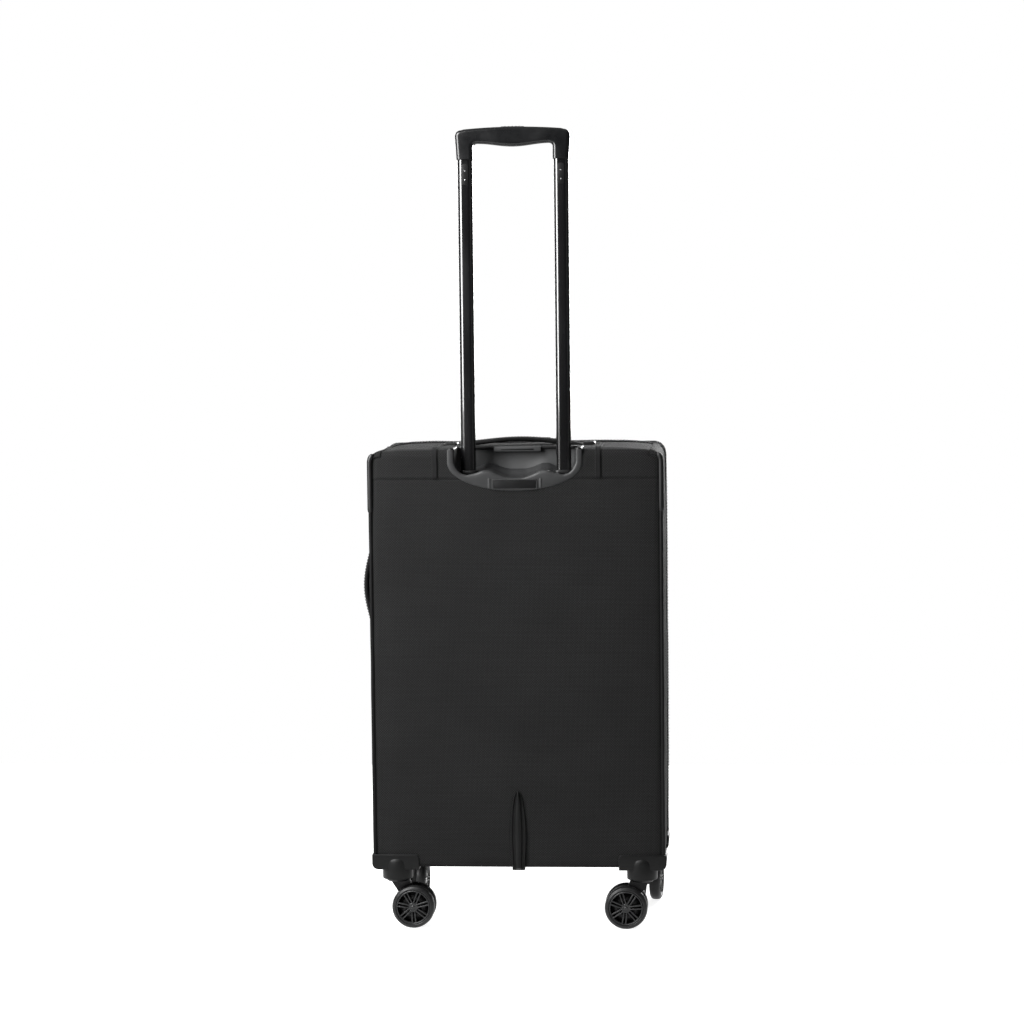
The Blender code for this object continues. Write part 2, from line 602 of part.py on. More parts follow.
def lid(rear):
    """The front of the case, which opens on its right edge, with two zipped pockets."""
    front = rear + LID_DEPTH
    plate("lid_gusset", "shell_fabric", [case_outline(0), case_outline(WALL)], "XZ", rear, front)
    panel_y = front + GAP
    plate("front_panel", "shell_fabric", [case_outline(0.0044)], "XZ", panel_y, panel_y + WALL)
    loop = case_outline(0.0015)
    smooth(pipe("front_piping", "piping", [(u, panel_y + 0.0028, v) for u, v in loop], 0.0025, True))
    for name, (low, high, depth) in POCKETS.items():
        back = panel_y + WALL + GAP
        outline = rounded(-POCKET_HALF, POCKET_HALF, low, high, 0.016, 3)
        pocket = plate("pocket_" + name, "shell_fabric", [outline], "XZ", back, back + depth)
        rounded_edges(pocket, 0.004, 2, 60)
        face, z = back + depth + GAP, high - 0.020
        slider = box("pocket_slider_" + name, "zip_metal", (-0.146, -0.134), (face, face + 0.0040),
                     (z - 0.0045, z + 0.0045), 0.001)
        tab = box("tab", None, (-0.137, -0.108), (face + 0.0020, face + 0.0036), (z - 0.003, z + 0.003))
        origin_at(join(slider, tab), (-0.140, face, z))


def main_sliders(zip_middle):
    """Two sliders that meet at the middle of the top, each with a puller hinged on its ears."""
    base = CASE_TOP + 0.0008 + GAP
    top = base + 0.0042
    for name, side in (("left", -1), ("right", 1)):
        x = side * SLIDER_X
        slider = box("zip_slider_" + name, "zip_metal", (x - 0.006, x + 0.006),
                     (zip_middle - 0.0045, zip_middle + 0.0045), (base, top), 0.001)
        for ear in (-1, 1):
            span = sorted(zip_middle + ear * d for d in (0.0034, 0.0044))
            slider = join(slider, box("ear", None, (x - 0.002, x + 0.002), span, (top - 0.0012, top + 0.0026)))
        origin_at(slider, (x, zip_middle, top))
        pin = (x, zip_middle, top + 0.0014)
        reach = sorted(x + side * d for d in (-0.0008, 0.030))
        puller = box("zip_puller_" + name, "zip_metal", reach, (zip_middle - 0.0030, zip_middle + 0.0030),
                     (pin[2] - 0.0008, pin[2] + 0.0008))
        origin_at(puller, pin)


# ---- build ------------------------------------------------------------------------------------------------
for old in list(bpy.data.objects):
    bpy.data.objects.remove(old)
parts = bpy.data.collections.new("softside_suitcase")
bpy.context.scene.collection.children.link(parts)

back_panel()
side_panel("side_panel_left", -1)
side_panel("side_panel_right", 1)
top_panel()
bottom_panel()
rear_edges()
smooth(recess_cup())
skid_rail()
carry_handles()
trolley()
grip()
release_button()
casters()
lid_rear = main_zip()
lid(lid_rear)
main_sliders(TRAY_FRONT + GAP + ZIP_HALF + GAP / 2)

for thing in parts.objects:
    if thing.parent is None:
        thing.location.x += CENTRE_SHIFT
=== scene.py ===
"""Looks of the softside upright suitcase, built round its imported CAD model.

Metres, +Z up. The back panel with the trolley handle faces -Y, the lid with its pockets faces +Y.
Every place comes from the boxes of the CAD nodes; constants below are sizes of seams, yarns and the like.
"""

import json
from functools import cache
from math import atan2, cos, hypot, pi, radians, sin, sqrt

import bmesh
import bpy
import numpy as np
from mathutils import Matrix, Vector, noise


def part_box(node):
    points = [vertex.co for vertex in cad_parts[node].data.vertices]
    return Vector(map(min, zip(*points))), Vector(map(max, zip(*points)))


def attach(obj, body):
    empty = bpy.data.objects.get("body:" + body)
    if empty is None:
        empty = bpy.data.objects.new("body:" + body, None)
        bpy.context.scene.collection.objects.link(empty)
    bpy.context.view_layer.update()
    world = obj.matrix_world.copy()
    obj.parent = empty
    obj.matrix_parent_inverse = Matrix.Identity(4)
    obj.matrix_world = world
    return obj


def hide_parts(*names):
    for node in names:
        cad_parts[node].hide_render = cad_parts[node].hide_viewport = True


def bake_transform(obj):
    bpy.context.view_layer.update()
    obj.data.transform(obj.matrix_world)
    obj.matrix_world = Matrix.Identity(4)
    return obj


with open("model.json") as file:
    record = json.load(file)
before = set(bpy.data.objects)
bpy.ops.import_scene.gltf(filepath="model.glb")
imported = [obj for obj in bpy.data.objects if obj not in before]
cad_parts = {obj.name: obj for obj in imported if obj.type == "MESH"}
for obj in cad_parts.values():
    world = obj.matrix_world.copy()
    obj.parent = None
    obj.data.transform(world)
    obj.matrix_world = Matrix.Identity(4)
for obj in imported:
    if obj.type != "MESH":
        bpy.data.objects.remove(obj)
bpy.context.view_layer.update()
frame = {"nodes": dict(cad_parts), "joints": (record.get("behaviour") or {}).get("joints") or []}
scene = bpy.context.scene


@cache
def node_box(node):
    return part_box(node)


def low(node):
    return node_box(node)[0]


def high(node):
    return node_box(node)[1]


# ---- camera, at the photograph's viewing angle ---------------------------
CAMERA_AT = Vector((0.3030, -4.0, 0.8531))
CAMERA_YAW, CAMERA_PITCH, CAMERA_ROLL = radians(4.410), radians(3.974), radians(-0.616)
LENS_MM = 98.93
AMBIENT = 0.10                # light from the pale room all round
FLOOR_SIZE, FLOOR_GLOW = 2.6, 0.88


def make_camera():
    data = bpy.data.cameras.new("camera")
    data.lens, data.sensor_width, data.clip_end = LENS_MM, 36.0, 60.0
    camera = bpy.data.objects.new("camera", data)
    scene.collection.objects.link(camera)
    forward = Vector((-sin(CAMERA_YAW) * cos(CAMERA_PITCH), cos(CAMERA_YAW) * cos(CAMERA_PITCH),
                      -sin(CAMERA_PITCH)))
    right = Vector((cos(CAMERA_YAW), sin(CAMERA_YAW), 0))
    up = right.cross(forward)
    turned_right = right * cos(CAMERA_ROLL) + up * sin(CAMERA_ROLL)
    turned_up = up * cos(CAMERA_ROLL) - right * sin(CAMERA_ROLL)
    turn = Matrix((turned_right, turned_up, -forward)).transposed().to_4x4()
    camera.matrix_world = Matrix.Translation(CAMERA_AT) @ turn
    scene.camera = camera


def area_light(name, place, target, width, height, watts):
    data = bpy.data.lights.new(name, "AREA")
    data.shape, data.size, data.size_y, data.energy = "RECTANGLE", width, height, watts
    light = bpy.data.objects.new(name, data)
    scene.collection.objects.link(light)
    light.location = place
    light.visible_camera = False
    light.rotation_euler = (Vector(target) - Vector(place)).to_track_quat("-Z", "Y").to_euler()


def make_studio():
    """A pale room: near-white surroundings, a large soft light on the left and a weaker one on the right."""
    world = bpy.data.worlds.new("studio")
    world.use_nodes = True
    tree = world.node_tree
    tree.nodes["Background"].inputs["Color"].default_value = (1, 1, 1, 1)
    rays = tree.nodes.new("ShaderNodeLightPath")
    level = tree.nodes.new("ShaderNodeMapRange")
    level.inputs["To Min"].default_value, level.inputs["To Max"].default_value = AMBIENT, 1.0
    tree.links.new(rays.outputs["Is Camera Ray"], level.inputs["Value"])
    tree.links.new(level.outputs[0], tree.nodes["Background"].inputs["Strength"])
    scene.world = world
    scene.view_settings.view_transform = "Standard"
    area_light("key", (-0.78, -0.80, 1.24), (-0.20, -0.13, 0.72), 0.55, 1.3, 80)
    area_light("right", (2.2, -1.3, 1.1), (0, 0, 0.5), 0.4, 1.8, 1.5)
    area_light("top", (0.0, 0.3, 3.1), (0, 0.3, 0), 5.0, 5.0, 36)
    area_light("lid_side", (0.9, 3.0, 1.5), (0, 0, 0.4), 0.9, 2.0, 150)
    area_light("lid_fill", (-1.7, 2.7, 1.2), (0, 0, 0.4), 0.8, 1.8, 45)
    bpy.ops.mesh.primitive_plane_add(size=FLOOR_SIZE)
    floor = bpy.context.object
    floor.name = "floor"
    material = bpy.data.materials.new("floor")
    material.use_nodes = True
    shader = material.node_tree.nodes["Principled BSDF"]
    shader.inputs["Base Color"].default_value = (0.42, 0.42, 0.42, 1)
    shader.inputs["Emission Color"].default_value = (1, 1, 1, 1)
    shader.inputs["Emission Strength"].default_value = FLOOR_GLOW
    shader.inputs["Roughness"].default_value = 0.9
    floor.data.materials.append(material)


make_camera()
make_studio()

# ---- sizes that the frame gives ------------------------------------------
MID = (low("side_panel_left").x + high("side_panel_right").x) / 2
HALF = (high("side_panel_right").x - low("side_panel_left").x) / 2
TOP, BOTTOM = high("top_panel").z, low("bottom_panel").z
BACK = low("back_panel").y
TRAY = high("side_panel_left").y
TRIM_BACK, TRIM_TOP = low("recess_cup").y, high("recess_cup").z
CUP_REAR = high("recess_cup").y - 0.0030    # rear edge of the hole for the recess in the top
CUP_WALL = high("recess_cup").y - 0.0060    # innermost face of the dish
INSIDE_Z = 0.38              # height of a point inside the case, which cloth faces away from
CORNER = 0.016               # the case's outer corners, as in the CAD outline
FOLD_R = 0.009               # roll of the fabric over the top rear edge
EDGE_R = 0.0035              # turn of the fabric into the piping
YOKE_Z = 0.629               # seam between the yoke and the back
STRIP_X = (-0.111, 0.1155)   # stitched strips over the yoke, from the case's middle
CLOTH = 0.0012               # thickness of the shell fabric
SIDES = (("left", -1), ("right", 1))
UP, FORWARD, REARWARD = Vector((0, 0, 1)), Vector((0, 1, 0)), Vector((0, -1, 0))
JOINTS = {joint["name"]: joint for joint in frame["joints"]}


# ---- materials -----------------------------------------------------------
class Shader:
    """A material being made: short calls for its nodes."""

    def __init__(self, name, roughness=0.5, metallic=0.0, **constants):
        self.material = bpy.data.materials.new(name)
        self.material.use_nodes = True
        self.tree = self.material.node_tree
        self.shader = self.tree.nodes["Principled BSDF"]
        self.shader.inputs["Roughness"].default_value = roughness
        self.shader.inputs["Metallic"].default_value = metallic
        for socket, value in constants.items():
            self.shader.inputs[socket.replace("_", " ")].default_value = value

    def node(self, kind, **values):
        made = self.tree.nodes.new("ShaderNode" + kind)
        for key, value in values.items():
            setattr(made, key, value)
        return made

    def feed(self, socket, value):
        if isinstance(value, bpy.types.NodeSocket):
            self.tree.links.new(value, socket)
        else:
            socket.default_value = value

    def math(self, operation, *values):
        made = self.node("Math", operation=operation)
        for socket, value in zip(made.inputs, values):
            self.feed(socket, value)
        return made.outputs[0]

    def combine(self, x, y, z):
        made = self.node("CombineXYZ")
        for socket, value in zip(made.inputs, (x, y, z)):
            self.feed(socket, value)
        return made.outputs[0]

    def place(self):
        return self.node("TexCoord").outputs["Object"]

    def scaled(self, vector, factors):
        made = self.node("Mapping")
        self.feed(made.inputs["Vector"], vector)
        made.inputs["Scale"].default_value = factors
        return made.outputs[0]

    def noise(self, vector, scale, detail=2.0, roughness=0.5):
        made = self.node("TexNoise")
        self.feed(made.inputs["Vector"], vector)
        made.inputs["Scale"].default_value = scale
        made.inputs["Detail"].default_value = detail
        made.inputs["Roughness"].default_value = roughness
        return made.outputs["Fac"]

    def cells(self, vector, scale):
        made = self.node("TexVoronoi", feature="F1")
        self.feed(made.inputs["Vector"], vector)
        made.inputs["Scale"].default_value = scale
        return made.outputs["Distance"]

    def ramp(self, value, low_value, high_value, start=0.0, end=1.0):
        made = self.node("MapRange")
        self.feed(made.inputs["Value"], value)
        for key, number in (("From Min", start), ("From Max", end), ("To Min", low_value),
                            ("To Max", high_value)):
            made.inputs[key].default_value = number
        return made.outputs[0]

    def tint(self, value, dark, light):
        """Colour between two greys or colours."""
        made = self.node("Mix", data_type="RGBA")
        self.feed(made.inputs["Factor"], value)
        made.inputs["A"].default_value = (*dark, 1)
        made.inputs["B"].default_value = (*light, 1)
        return made.outputs["Result"]

    def shade(self, colour, factor):
        """Colour made lighter or darker by a factor."""
        made = self.node("VectorMath", operation="SCALE")
        self.feed(made.inputs[0], colour)
        self.feed(made.inputs["Scale"], factor)
        return made.outputs[0]

    def bump(self, height, distance, strength=1.0):
        made = self.node("Bump")
        made.inputs["Distance"].default_value = distance
        made.inputs["Strength"].default_value = strength
        self.feed(made.inputs["Height"], height)
        self.feed(self.shader.inputs["Normal"], made.outputs[0])

    def finish(self, colour=None, roughness=None):
        if colour is not None:
            self.feed(self.shader.inputs["Base Color"], colour)
        if roughness is not None:
            self.feed(self.shader.inputs["Roughness"], roughness)
        return self.material


def flat_place(s):
    """Two coordinates along the cloth, chosen by the side that a face looks to."""
    place = s.node("SeparateXYZ")
    s.feed(place.inputs[0], s.place())
    facing = s.node("SeparateXYZ")
    s.feed(facing.inputs[0], s.node("TexCoord").outputs["Normal"])
    nx, ny, nz = (s.math("ABSOLUTE", facing.outputs[i]) for i in range(3))
    sideways = s.math("MULTIPLY", s.math("GREATER_THAN", nx, ny), s.math("GREATER_THAN", nx, nz))
    upward = s.math("MULTIPLY", s.math("GREATER_THAN", nz, ny), s.math("GREATER_THAN", nz, nx))

    def choose(which, other, usual):
        return s.math("ADD", s.math("MULTIPLY", which, other),
                      s.math("MULTIPLY", s.math("SUBTRACT", 1.0, which), usual))
    x, y, z = place.outputs
    return choose(sideways, y, x), choose(upward, y, z)


def woven(name, dark, light, yarn, relief, slub=0.07, sheen=0.01, diagonal=False, roughness=0.78):
    """Plain-weave cloth: yarns of that width over and under each other, with slubs and fading."""
    s = Shader(name, Sheen_Weight=sheen, Sheen_Roughness=0.45, Specular_IOR_Level=0.07)
    across, along = flat_place(s)
    if diagonal:
        across, along = s.math("ADD", across, along), s.math("SUBTRACT", across, along)
    warp = s.math("SINE", s.math("MULTIPLY", across, pi / yarn))
    weft = s.math("SINE", s.math("MULTIPLY", along, pi / yarn))
    over = s.math("MULTIPLY", warp, weft)
    dome = s.math("POWER", s.math("ABSOLUTE", over), 0.6)
    fibre = s.noise(s.combine(across, along, 0.0), 0.9 / yarn, 2.0)
    drawn_out = s.combine(s.math("MULTIPLY", across, 14.0), s.math("MULTIPLY", along, 0.35 / yarn), 0.0)
    streaks = s.noise(drawn_out, 1.0, 2.0)
    clouds = s.noise(s.place(), 9.0, 3.0, 0.6)
    tone = s.math("ADD", s.math("MULTIPLY", dome, 0.30), s.ramp(over, 0.0, 0.62, -0.3, 0.3))
    tone = s.math("ADD", tone, s.math("MULTIPLY", s.math("SUBTRACT", fibre, 0.5), 0.5))
    colour = s.tint(s.ramp(tone, 0.0, 1.0, 0.05, 1.0), dark, light)
    fade = s.math("ADD", s.ramp(streaks, 1 - slub, 1 + slub, 0.3, 0.7),
                  s.ramp(clouds, -0.10, 0.10, 0.3, 0.7))
    s.bump(s.math("ADD", dome, s.math("MULTIPLY", fibre, 0.35)), relief, 0.9)
    return s.finish(s.shade(colour, fade), s.ramp(dome, roughness + 0.12, roughness - 0.08))


def moulded(name, dark, light, roughness, grain=0.00006, grain_scale=1400.0, gloss=0.0, wear=0.35,
            specular=0.4):
    """Injection-moulded plastic: spark-eroded grain, slight mottling and fine scuffs."""
    s = Shader(name, Coat_Weight=gloss, Coat_Roughness=0.12, Specular_IOR_Level=specular)
    place = s.place()
    mottle = s.noise(place, 30.0, 4.0, 0.6)
    scuffs = s.noise(s.scaled(place, (40.0, 40.0, 400.0)), 1.6, 3.0, 0.7)
    marks = s.ramp(scuffs, 0.0, wear, 0.60, 0.78)
    colour = s.shade(s.tint(mottle, dark, light), s.math("ADD", 1.0, marks))
    rough = s.math("ADD", s.ramp(mottle, roughness - 0.05, roughness + 0.07, 0.3, 0.7),
                   s.math("MULTIPLY", marks, 0.25))
    s.bump(s.cells(place, grain_scale), grain, 0.8)
    return s.finish(colour, rough)


def anodised():
    """Glossy black drawn aluminium with faint draw lines along it."""
    s = Shader("pole_black", Coat_Weight=0.50, Coat_Roughness=0.06, Coat_IOR=1.5, Specular_IOR_Level=0.35)
    place = s.place()
    lines = s.noise(s.scaled(place, (1.0, 1.0, 0.006)), 2600.0, 2.0)
    handling = s.noise(s.scaled(place, (60.0, 60.0, 9.0)), 1.0, 3.0)
    s.bump(lines, 0.00002, 0.35)
    return s.finish(s.tint(handling, (0.0006, 0.0006, 0.0008), (0.0014, 0.0014, 0.0017)),
                    s.ramp(handling, 0.20, 0.30, 0.3, 0.7))


def metal(name, dark, light, roughness, lines=900.0):
    s = Shader(name, metallic=1.0)
    place = s.place()
    blotch = s.noise(place, 120.0, 3.0)
    s.bump(s.noise(place, lines, 3.0), 0.00003, 0.5)
    return s.finish(s.tint(blotch, dark, light), s.ramp(blotch, roughness - 0.06, roughness + 0.10, 0.3, 0.7))


def rubber(name, dark, light, roughness):
    s = Shader(name, Specular_IOR_Level=0.25)
    place = s.place()
    dust = s.noise(place, 160.0, 4.0, 0.65)
    s.bump(s.noise(place, 1800.0, 2.0), 0.00005, 0.6)
    return s.finish(s.tint(s.ramp(dust, 0, 1, 0.3, 0.7), dark, light),
                    s.ramp(dust, roughness - 0.08, roughness + 0.08, 0.3, 0.7))


def thread(name, dark, light):
    s = Shader(name, roughness=0.7, Specular_IOR_Level=0.1)
    fibre = s.noise(s.place(), 2500.0, 1.0)
    s.bump(fibre, 0.0001, 0.8)
    return s.finish(s.tint(fibre, dark, light))


SHELL = woven("shell_weave", (0.0004, 0.0004, 0.0004), (0.0150, 0.0153, 0.0153), 0.00175, 0.00060)
WEB = woven("webbing_weave", (0.0014, 0.0014, 0.0015), (0.0055, 0.0055, 0.0057),
            0.0011, 0.00035, 0.10, 0.02, True)
BINDING = woven("binding_weave", (0.0030, 0.0030, 0.0031), (0.0095, 0.0095, 0.0098),
                0.0008, 0.0002, 0.1, 0.02)
TAPE = woven("zip_tape_weave", (0.0018, 0.0018, 0.0019), (0.0068, 0.0068, 0.0070), 0.0007, 0.0002, 0.1, 0.02)
LINING = woven("lining_weave", (0.016, 0.017, 0.018), (0.045, 0.047, 0.050),
               0.0009, 0.00012, 0.1, 0.15, False, 0.6)
PIPING = moulded("piping_skin", (0.0016, 0.0016, 0.0017), (0.0032, 0.0032, 0.0034),
                 0.50, 0.00012, 900.0, specular=0.10)
GUARD = moulded("guard_skin", (0.0018, 0.0019, 0.0020), (0.0032, 0.0033, 0.0035),
                0.46, 0.00003, 1200.0, 0.04, specular=0.25)
TRIM = moulded("trim_plastic", (0.0018, 0.0019, 0.0019), (0.0033, 0.0034, 0.0034), 0.42, specular=0.12)
BEZEL = moulded("bezel_plastic", (0.0100, 0.0102, 0.0104), (0.0140, 0.0142, 0.0145), 0.44, specular=0.25)
DISH = moulded("dish_plastic", (0.0140, 0.0144, 0.0146), (0.0205, 0.0209, 0.0213),
               0.50, 0.00008, 1100.0, specular=0.3)
DARK_TRIM = moulded("dark_plastic", (0.0020, 0.0020, 0.0021), (0.0036, 0.0036, 0.0038), 0.40, specular=0.18)
GRIP = moulded("grip_plastic", (0.0012, 0.0013, 0.0015), (0.0024, 0.0025, 0.0028), 0.30, 0.00002, 1600.0,
               0.10, 0.15, specular=0.25)
POLE = anodised()
SLEEVE = metal("sleeve_alloy", (0.36, 0.36, 0.37), (0.48, 0.48, 0.49), 0.38)
STEEL = metal("rivet_steel", (0.22, 0.22, 0.23), (0.34, 0.34, 0.35), 0.30)
GUNMETAL = metal("zip_gunmetal", (0.035, 0.035, 0.037), (0.075, 0.075, 0.078), 0.32)
COIL = moulded("zip_coil", (0.0040, 0.0040, 0.0041), (0.0085, 0.0085, 0.0087), 0.36, 0.00001, 3000.0)
HUB = moulded("hub_plastic", (0.0058, 0.0060, 0.0062), (0.0095, 0.0097, 0.0100), 0.36, 0.00004, specular=0.3)
TYRE = rubber("tyre_rubber", (0.0026, 0.0027, 0.0028), (0.0054, 0.0055, 0.0057), 0.42)
THREAD = thread("dark_thread", (0.0012, 0.0012, 0.0012), (0.0050, 0.0050, 0.0051))
LIGHT_THREAD = thread("grey_thread", (0.008, 0.008, 0.0081), (0.020, 0.020, 0.0203))


# ---- mesh helpers --------------------------------------------------------
def piece(name, verts, faces, material):
    mesh = bpy.data.meshes.new(name)
    mesh.from_pydata([tuple(v) for v in verts], [], faces)
    mesh.materials.append(material)
    mesh.shade_smooth()
    made = bpy.data.objects.new(name, mesh)
    scene.collection.objects.link(made)
    return made


def settle(thing, body, slot, *nodes):
    """The piece rides on a body and stands for CAD nodes, which it hides; the slot is not used."""
    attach(thing, body)
    if nodes:
        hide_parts(*nodes)
    return thing


def modify(thing, kind, **values):
    step = thing.modifiers.new(kind.lower(), kind)
    for key, value in values.items():
        setattr(step, key, value)
    return thing


def bevelled(thing, width, segments, angle=40):
    modify(thing, "BEVEL", width=width, segments=segments, limit_method="ANGLE", angle_limit=radians(angle),
           harden_normals=False)
    return thing


def grid_faces(rows, columns, close_rows=False, close_columns=False):
    faces = []
    for i in range(rows if close_rows else rows - 1):
        for j in range(columns if close_columns else columns - 1):
            a, b = i * columns + j, i * columns + (j + 1) % columns
            k = (i + 1) % rows
            faces.append((a, b, k * columns + (j + 1) % columns, k * columns + j))
    return faces


def grid(name, rows, material, close_rows=False, close_columns=False, caps=False):
    """A surface through rows of points, its normals alike."""
    points = [p for row in rows for p in row]
    columns = len(rows[0])
    faces = grid_faces(len(rows), columns, close_rows, close_columns)
    if caps:
        faces.append(tuple(range(columns - 1, -1, -1)))
        faces.append(tuple(range((len(rows) - 1) * columns, len(rows) * columns)))
    return fix_normals(piece(name, points, faces, material))


def fix_normals(thing):
    shape = bmesh.new()
    shape.from_mesh(thing.data)
    bmesh.ops.recalc_face_normals(shape, faces=shape.faces)
    shape.to_mesh(thing.data)
    shape.free()
    return thing


def sweep(name, line, section, material, closed=False, sizes=None):
    """A section of (sideways, outward) offsets carried along a line of (point, outward) pairs."""
    rows, count = [], len(line)
    for i, (point, outward) in enumerate(line):
        before = line[(i - 1) % count][0] if closed or i else line[0][0]
        after = line[(i + 1) % count][0] if closed or i < count - 1 else line[-1][0]
        along = (after - before).normalized()
        outward = (outward - along * outward.dot(along)).normalized()
        sideways = along.cross(outward)
        size = sizes[i] if sizes else 1.0
        rows.append([point + sideways * (a * size) + outward * (b * size) for a, b in section])
    return grid(name, rows, material, closed, True, not closed)


def ring(radius_a, radius_b, sides):
    """Section of a round or oval cord."""
    return [(radius_a * cos(2 * pi * i / sides), radius_b * sin(2 * pi * i / sides)) for i in range(sides)]


def ribbon(width, thickness, lift=0.0):
    """Section of a flat tape with soft edges, its underside at lift."""
    w, t = width / 2, thickness
    return [(-w, lift), (-w + 0.15 * t, lift + 0.8 * t), (-w + t, lift + t), (0, lift + 1.05 * t),
            (w - t, lift + t), (w - 0.15 * t, lift + 0.8 * t), (w, lift), (0, lift - 0.2 * t)]


def lathe(name, profile, material, sides=48, axis="Y"):
    """A closed profile of (radius, height) turned about an axis."""
    rows = []
    for i in range(sides):
        a = 2 * pi * i / sides
        if axis == "Y":
            rows.append([Vector((r * cos(a), h, r * sin(a))) for r, h in profile])
        else:
            rows.append([Vector((r * cos(a), r * sin(a), h)) for r, h in profile])
    return grid(name, rows, material, True, True)


def arc(u, v, ru, rv, start, end, steps):
    angles = [radians(start + (end - start) * i / steps) for i in range(steps + 1)]
    return [(u + ru * cos(a), v + rv * sin(a)) for a in angles]


def rounded(u0, u1, v0, v1, radius, steps=5):
    points = []
    for u, v, start in ((u1 - radius, v1 - radius, 0), (u0 + radius, v1 - radius, 90),
                        (u0 + radius, v0 + radius, 180), (u1 - radius, v0 + radius, 270)):
        points += arc(u, v, radius, radius, start, start + 90, steps)
    return points


def plate(name, outline, plane, start, end, material, edge=0.0, segments=3):
    """A flat piece with rounded edges: outline drawn on a plane, from start to end across it."""
    def at(u, v, w):
        return {"XZ": (u, w, v), "XY": (u, v, w), "YZ": (w, u, v)}[plane]
    count = len(outline)
    verts = [at(u, v, w) for w in (start, end) for u, v in outline]
    faces = [tuple(range(count)), tuple(range(2 * count - 1, count - 1, -1))]
    faces += [(i, (i + 1) % count, count + (i + 1) % count, count + i) for i in range(count)]
    made = fix_normals(piece(name, verts, faces, material))
    made.data.set_sharp_from_angle(angle=radians(35))
    if edge:
        made.data.set_sharp_from_angle(angle=radians(180))
        bevelled(made, edge, segments)
    return made


def box(name, x, y, z, material, edge=0.001, segments=3):
    return plate(name, [(x[0], z[0]), (x[1], z[0]), (x[1], z[1]), (x[0], z[1])], "XZ", y[0], y[1],
                 material, edge, segments)


def joined(name, things):
    """One object out of several, with their modifiers applied."""
    graph = bpy.context.evaluated_depsgraph_get()
    graph.update()
    shape, materials = bmesh.new(), []
    for thing in things:
        mesh = bpy.data.meshes.new_from_object(thing.evaluated_get(graph))
        mesh.transform(thing.matrix_world)
        for material in mesh.materials:
            if material not in materials:
                materials.append(material)
        numbers = [materials.index(material) for material in mesh.materials]
        start = len(shape.faces)
        shape.from_mesh(mesh)
        shape.faces.ensure_lookup_table()
        for face in shape.faces[start:]:
            face.material_index = numbers[face.material_index]
    mesh = bpy.data.meshes.new(name)
    shape.to_mesh(mesh)
    shape.free()
    for material in materials:
        mesh.materials.append(material)
    for thing in things:
        bpy.data.objects.remove(thing)
    made = bpy.data.objects.new(name, mesh)
    scene.collection.objects.link(made)
    return made


def stitches(name, line, material, length=0.0032, gap=0.0014, radius=0.00035, lift=0.0002):
    """A row of sewn stitches along a line of (point, outward) pairs."""
    points = [p for p, _ in line]
    run = [0.0]
    for a, b in zip(points, points[1:]):
        run.append(run[-1] + (b - a).length)

    def at(distance):
        i = min(max(np.searchsorted(run, distance) - 1, 0), len(run) - 2)
        t = (distance - run[i]) / max(run[i + 1] - run[i], 1e-9)
        return points[i].lerp(points[i + 1], t), line[i][1]
    verts, faces, sides = [], [], 5
    place = gap
    while place + length < run[-1]:
        rings = ((0.0, -0.5, 0.25), (0.12, 0.4, 0.9), (0.5, 1.0, 1.0), (0.88, 0.4, 0.9), (1.0, -0.5, 0.25))
        first = len(verts)
        along = (at(place + length)[0] - at(place)[0]).normalized()
        for share, rise, size in rings:
            point, outward = at(place + share * length)
            sideways = along.cross(outward).normalized()
            for k in range(sides):
                a = 2 * pi * k / sides
                verts.append(point + outward * (lift + rise * radius * 0.6 + radius * size * sin(a))
                             + sideways * (radius * size * cos(a)))
        faces += [tuple(first + n for n in f) for f in grid_faces(len(rings), sides, False, True)]
        place += length + gap
    return piece(name, verts, faces, material)


def sew(name, line, body, length=0.0032, gap=0.0014, radius=0.00035, lift=0.0002, material=THREAD,
        slot="shell_fabric"):
    """A row of stitches that rides on a body."""
    settle(stitches(name, line, material, length, gap, radius, lift), body, slot)


def seam_pair(name, ends, line, offset, raised, body, *sizes, slot="shell_fabric"):
    """Two rows of stitches beside a line, at an offset to each side and raised from it."""
    for end, sign in zip(ends, (-1, 1)):
        seam = [(p + Vector(offset) * sign + Vector(raised), n) for p, n in line]
        sew(name + end, seam, body, *sizes, slot=slot)


def dress(node, material, edge=0.0, segments=2, angle=40):
    """A CAD node that stays gets a finished material and rounded edges."""
    thing = frame["nodes"][node]
    for slot in thing.material_slots:
        slot.material = material
    if edge:
        bevelled(thing, edge, segments, angle)


def wave(x, y, z=0.0, size=0.08):
    """Slow, repeatable unevenness between -1 and 1."""
    return noise.noise(Vector((x / size, y / size, z / size)))


def smooth_step(a, b, x):
    t = min(max((x - a) / (b - a), 0.0), 1.0)
    return t * t * (3 - 2 * t)


def spaced(start, end, step, finer=()):
    """Numbers from start to end, closer together around the finer places (centre, reach, step)."""
    numbers, here = [start], start
    while here < end:
        near = [s for c, r, s in finer if abs(here - c) < r]
        here += min(near + [step])
        numbers.append(here)
    scale = (end - start) / (numbers[-1] - start)
    return [start + (n - start) * scale for n in numbers]


# ---- the fabric shell ----------------------------------------------------
CUP_SPRING = 0.652
CUP_HALF, BEZEL_HALF, BEZEL_DROP = 0.084, 0.0936, 0.039
RUN_FOLD = TOP - FOLD_R                       # where the back begins to roll over, as a height
RUN_TOP = RUN_FOLD + FOLD_R * pi / 2          # where the top begins, as a run up the back
RUN_END = RUN_TOP + TRAY - BACK - FOLD_R      # where the top ends at the zip


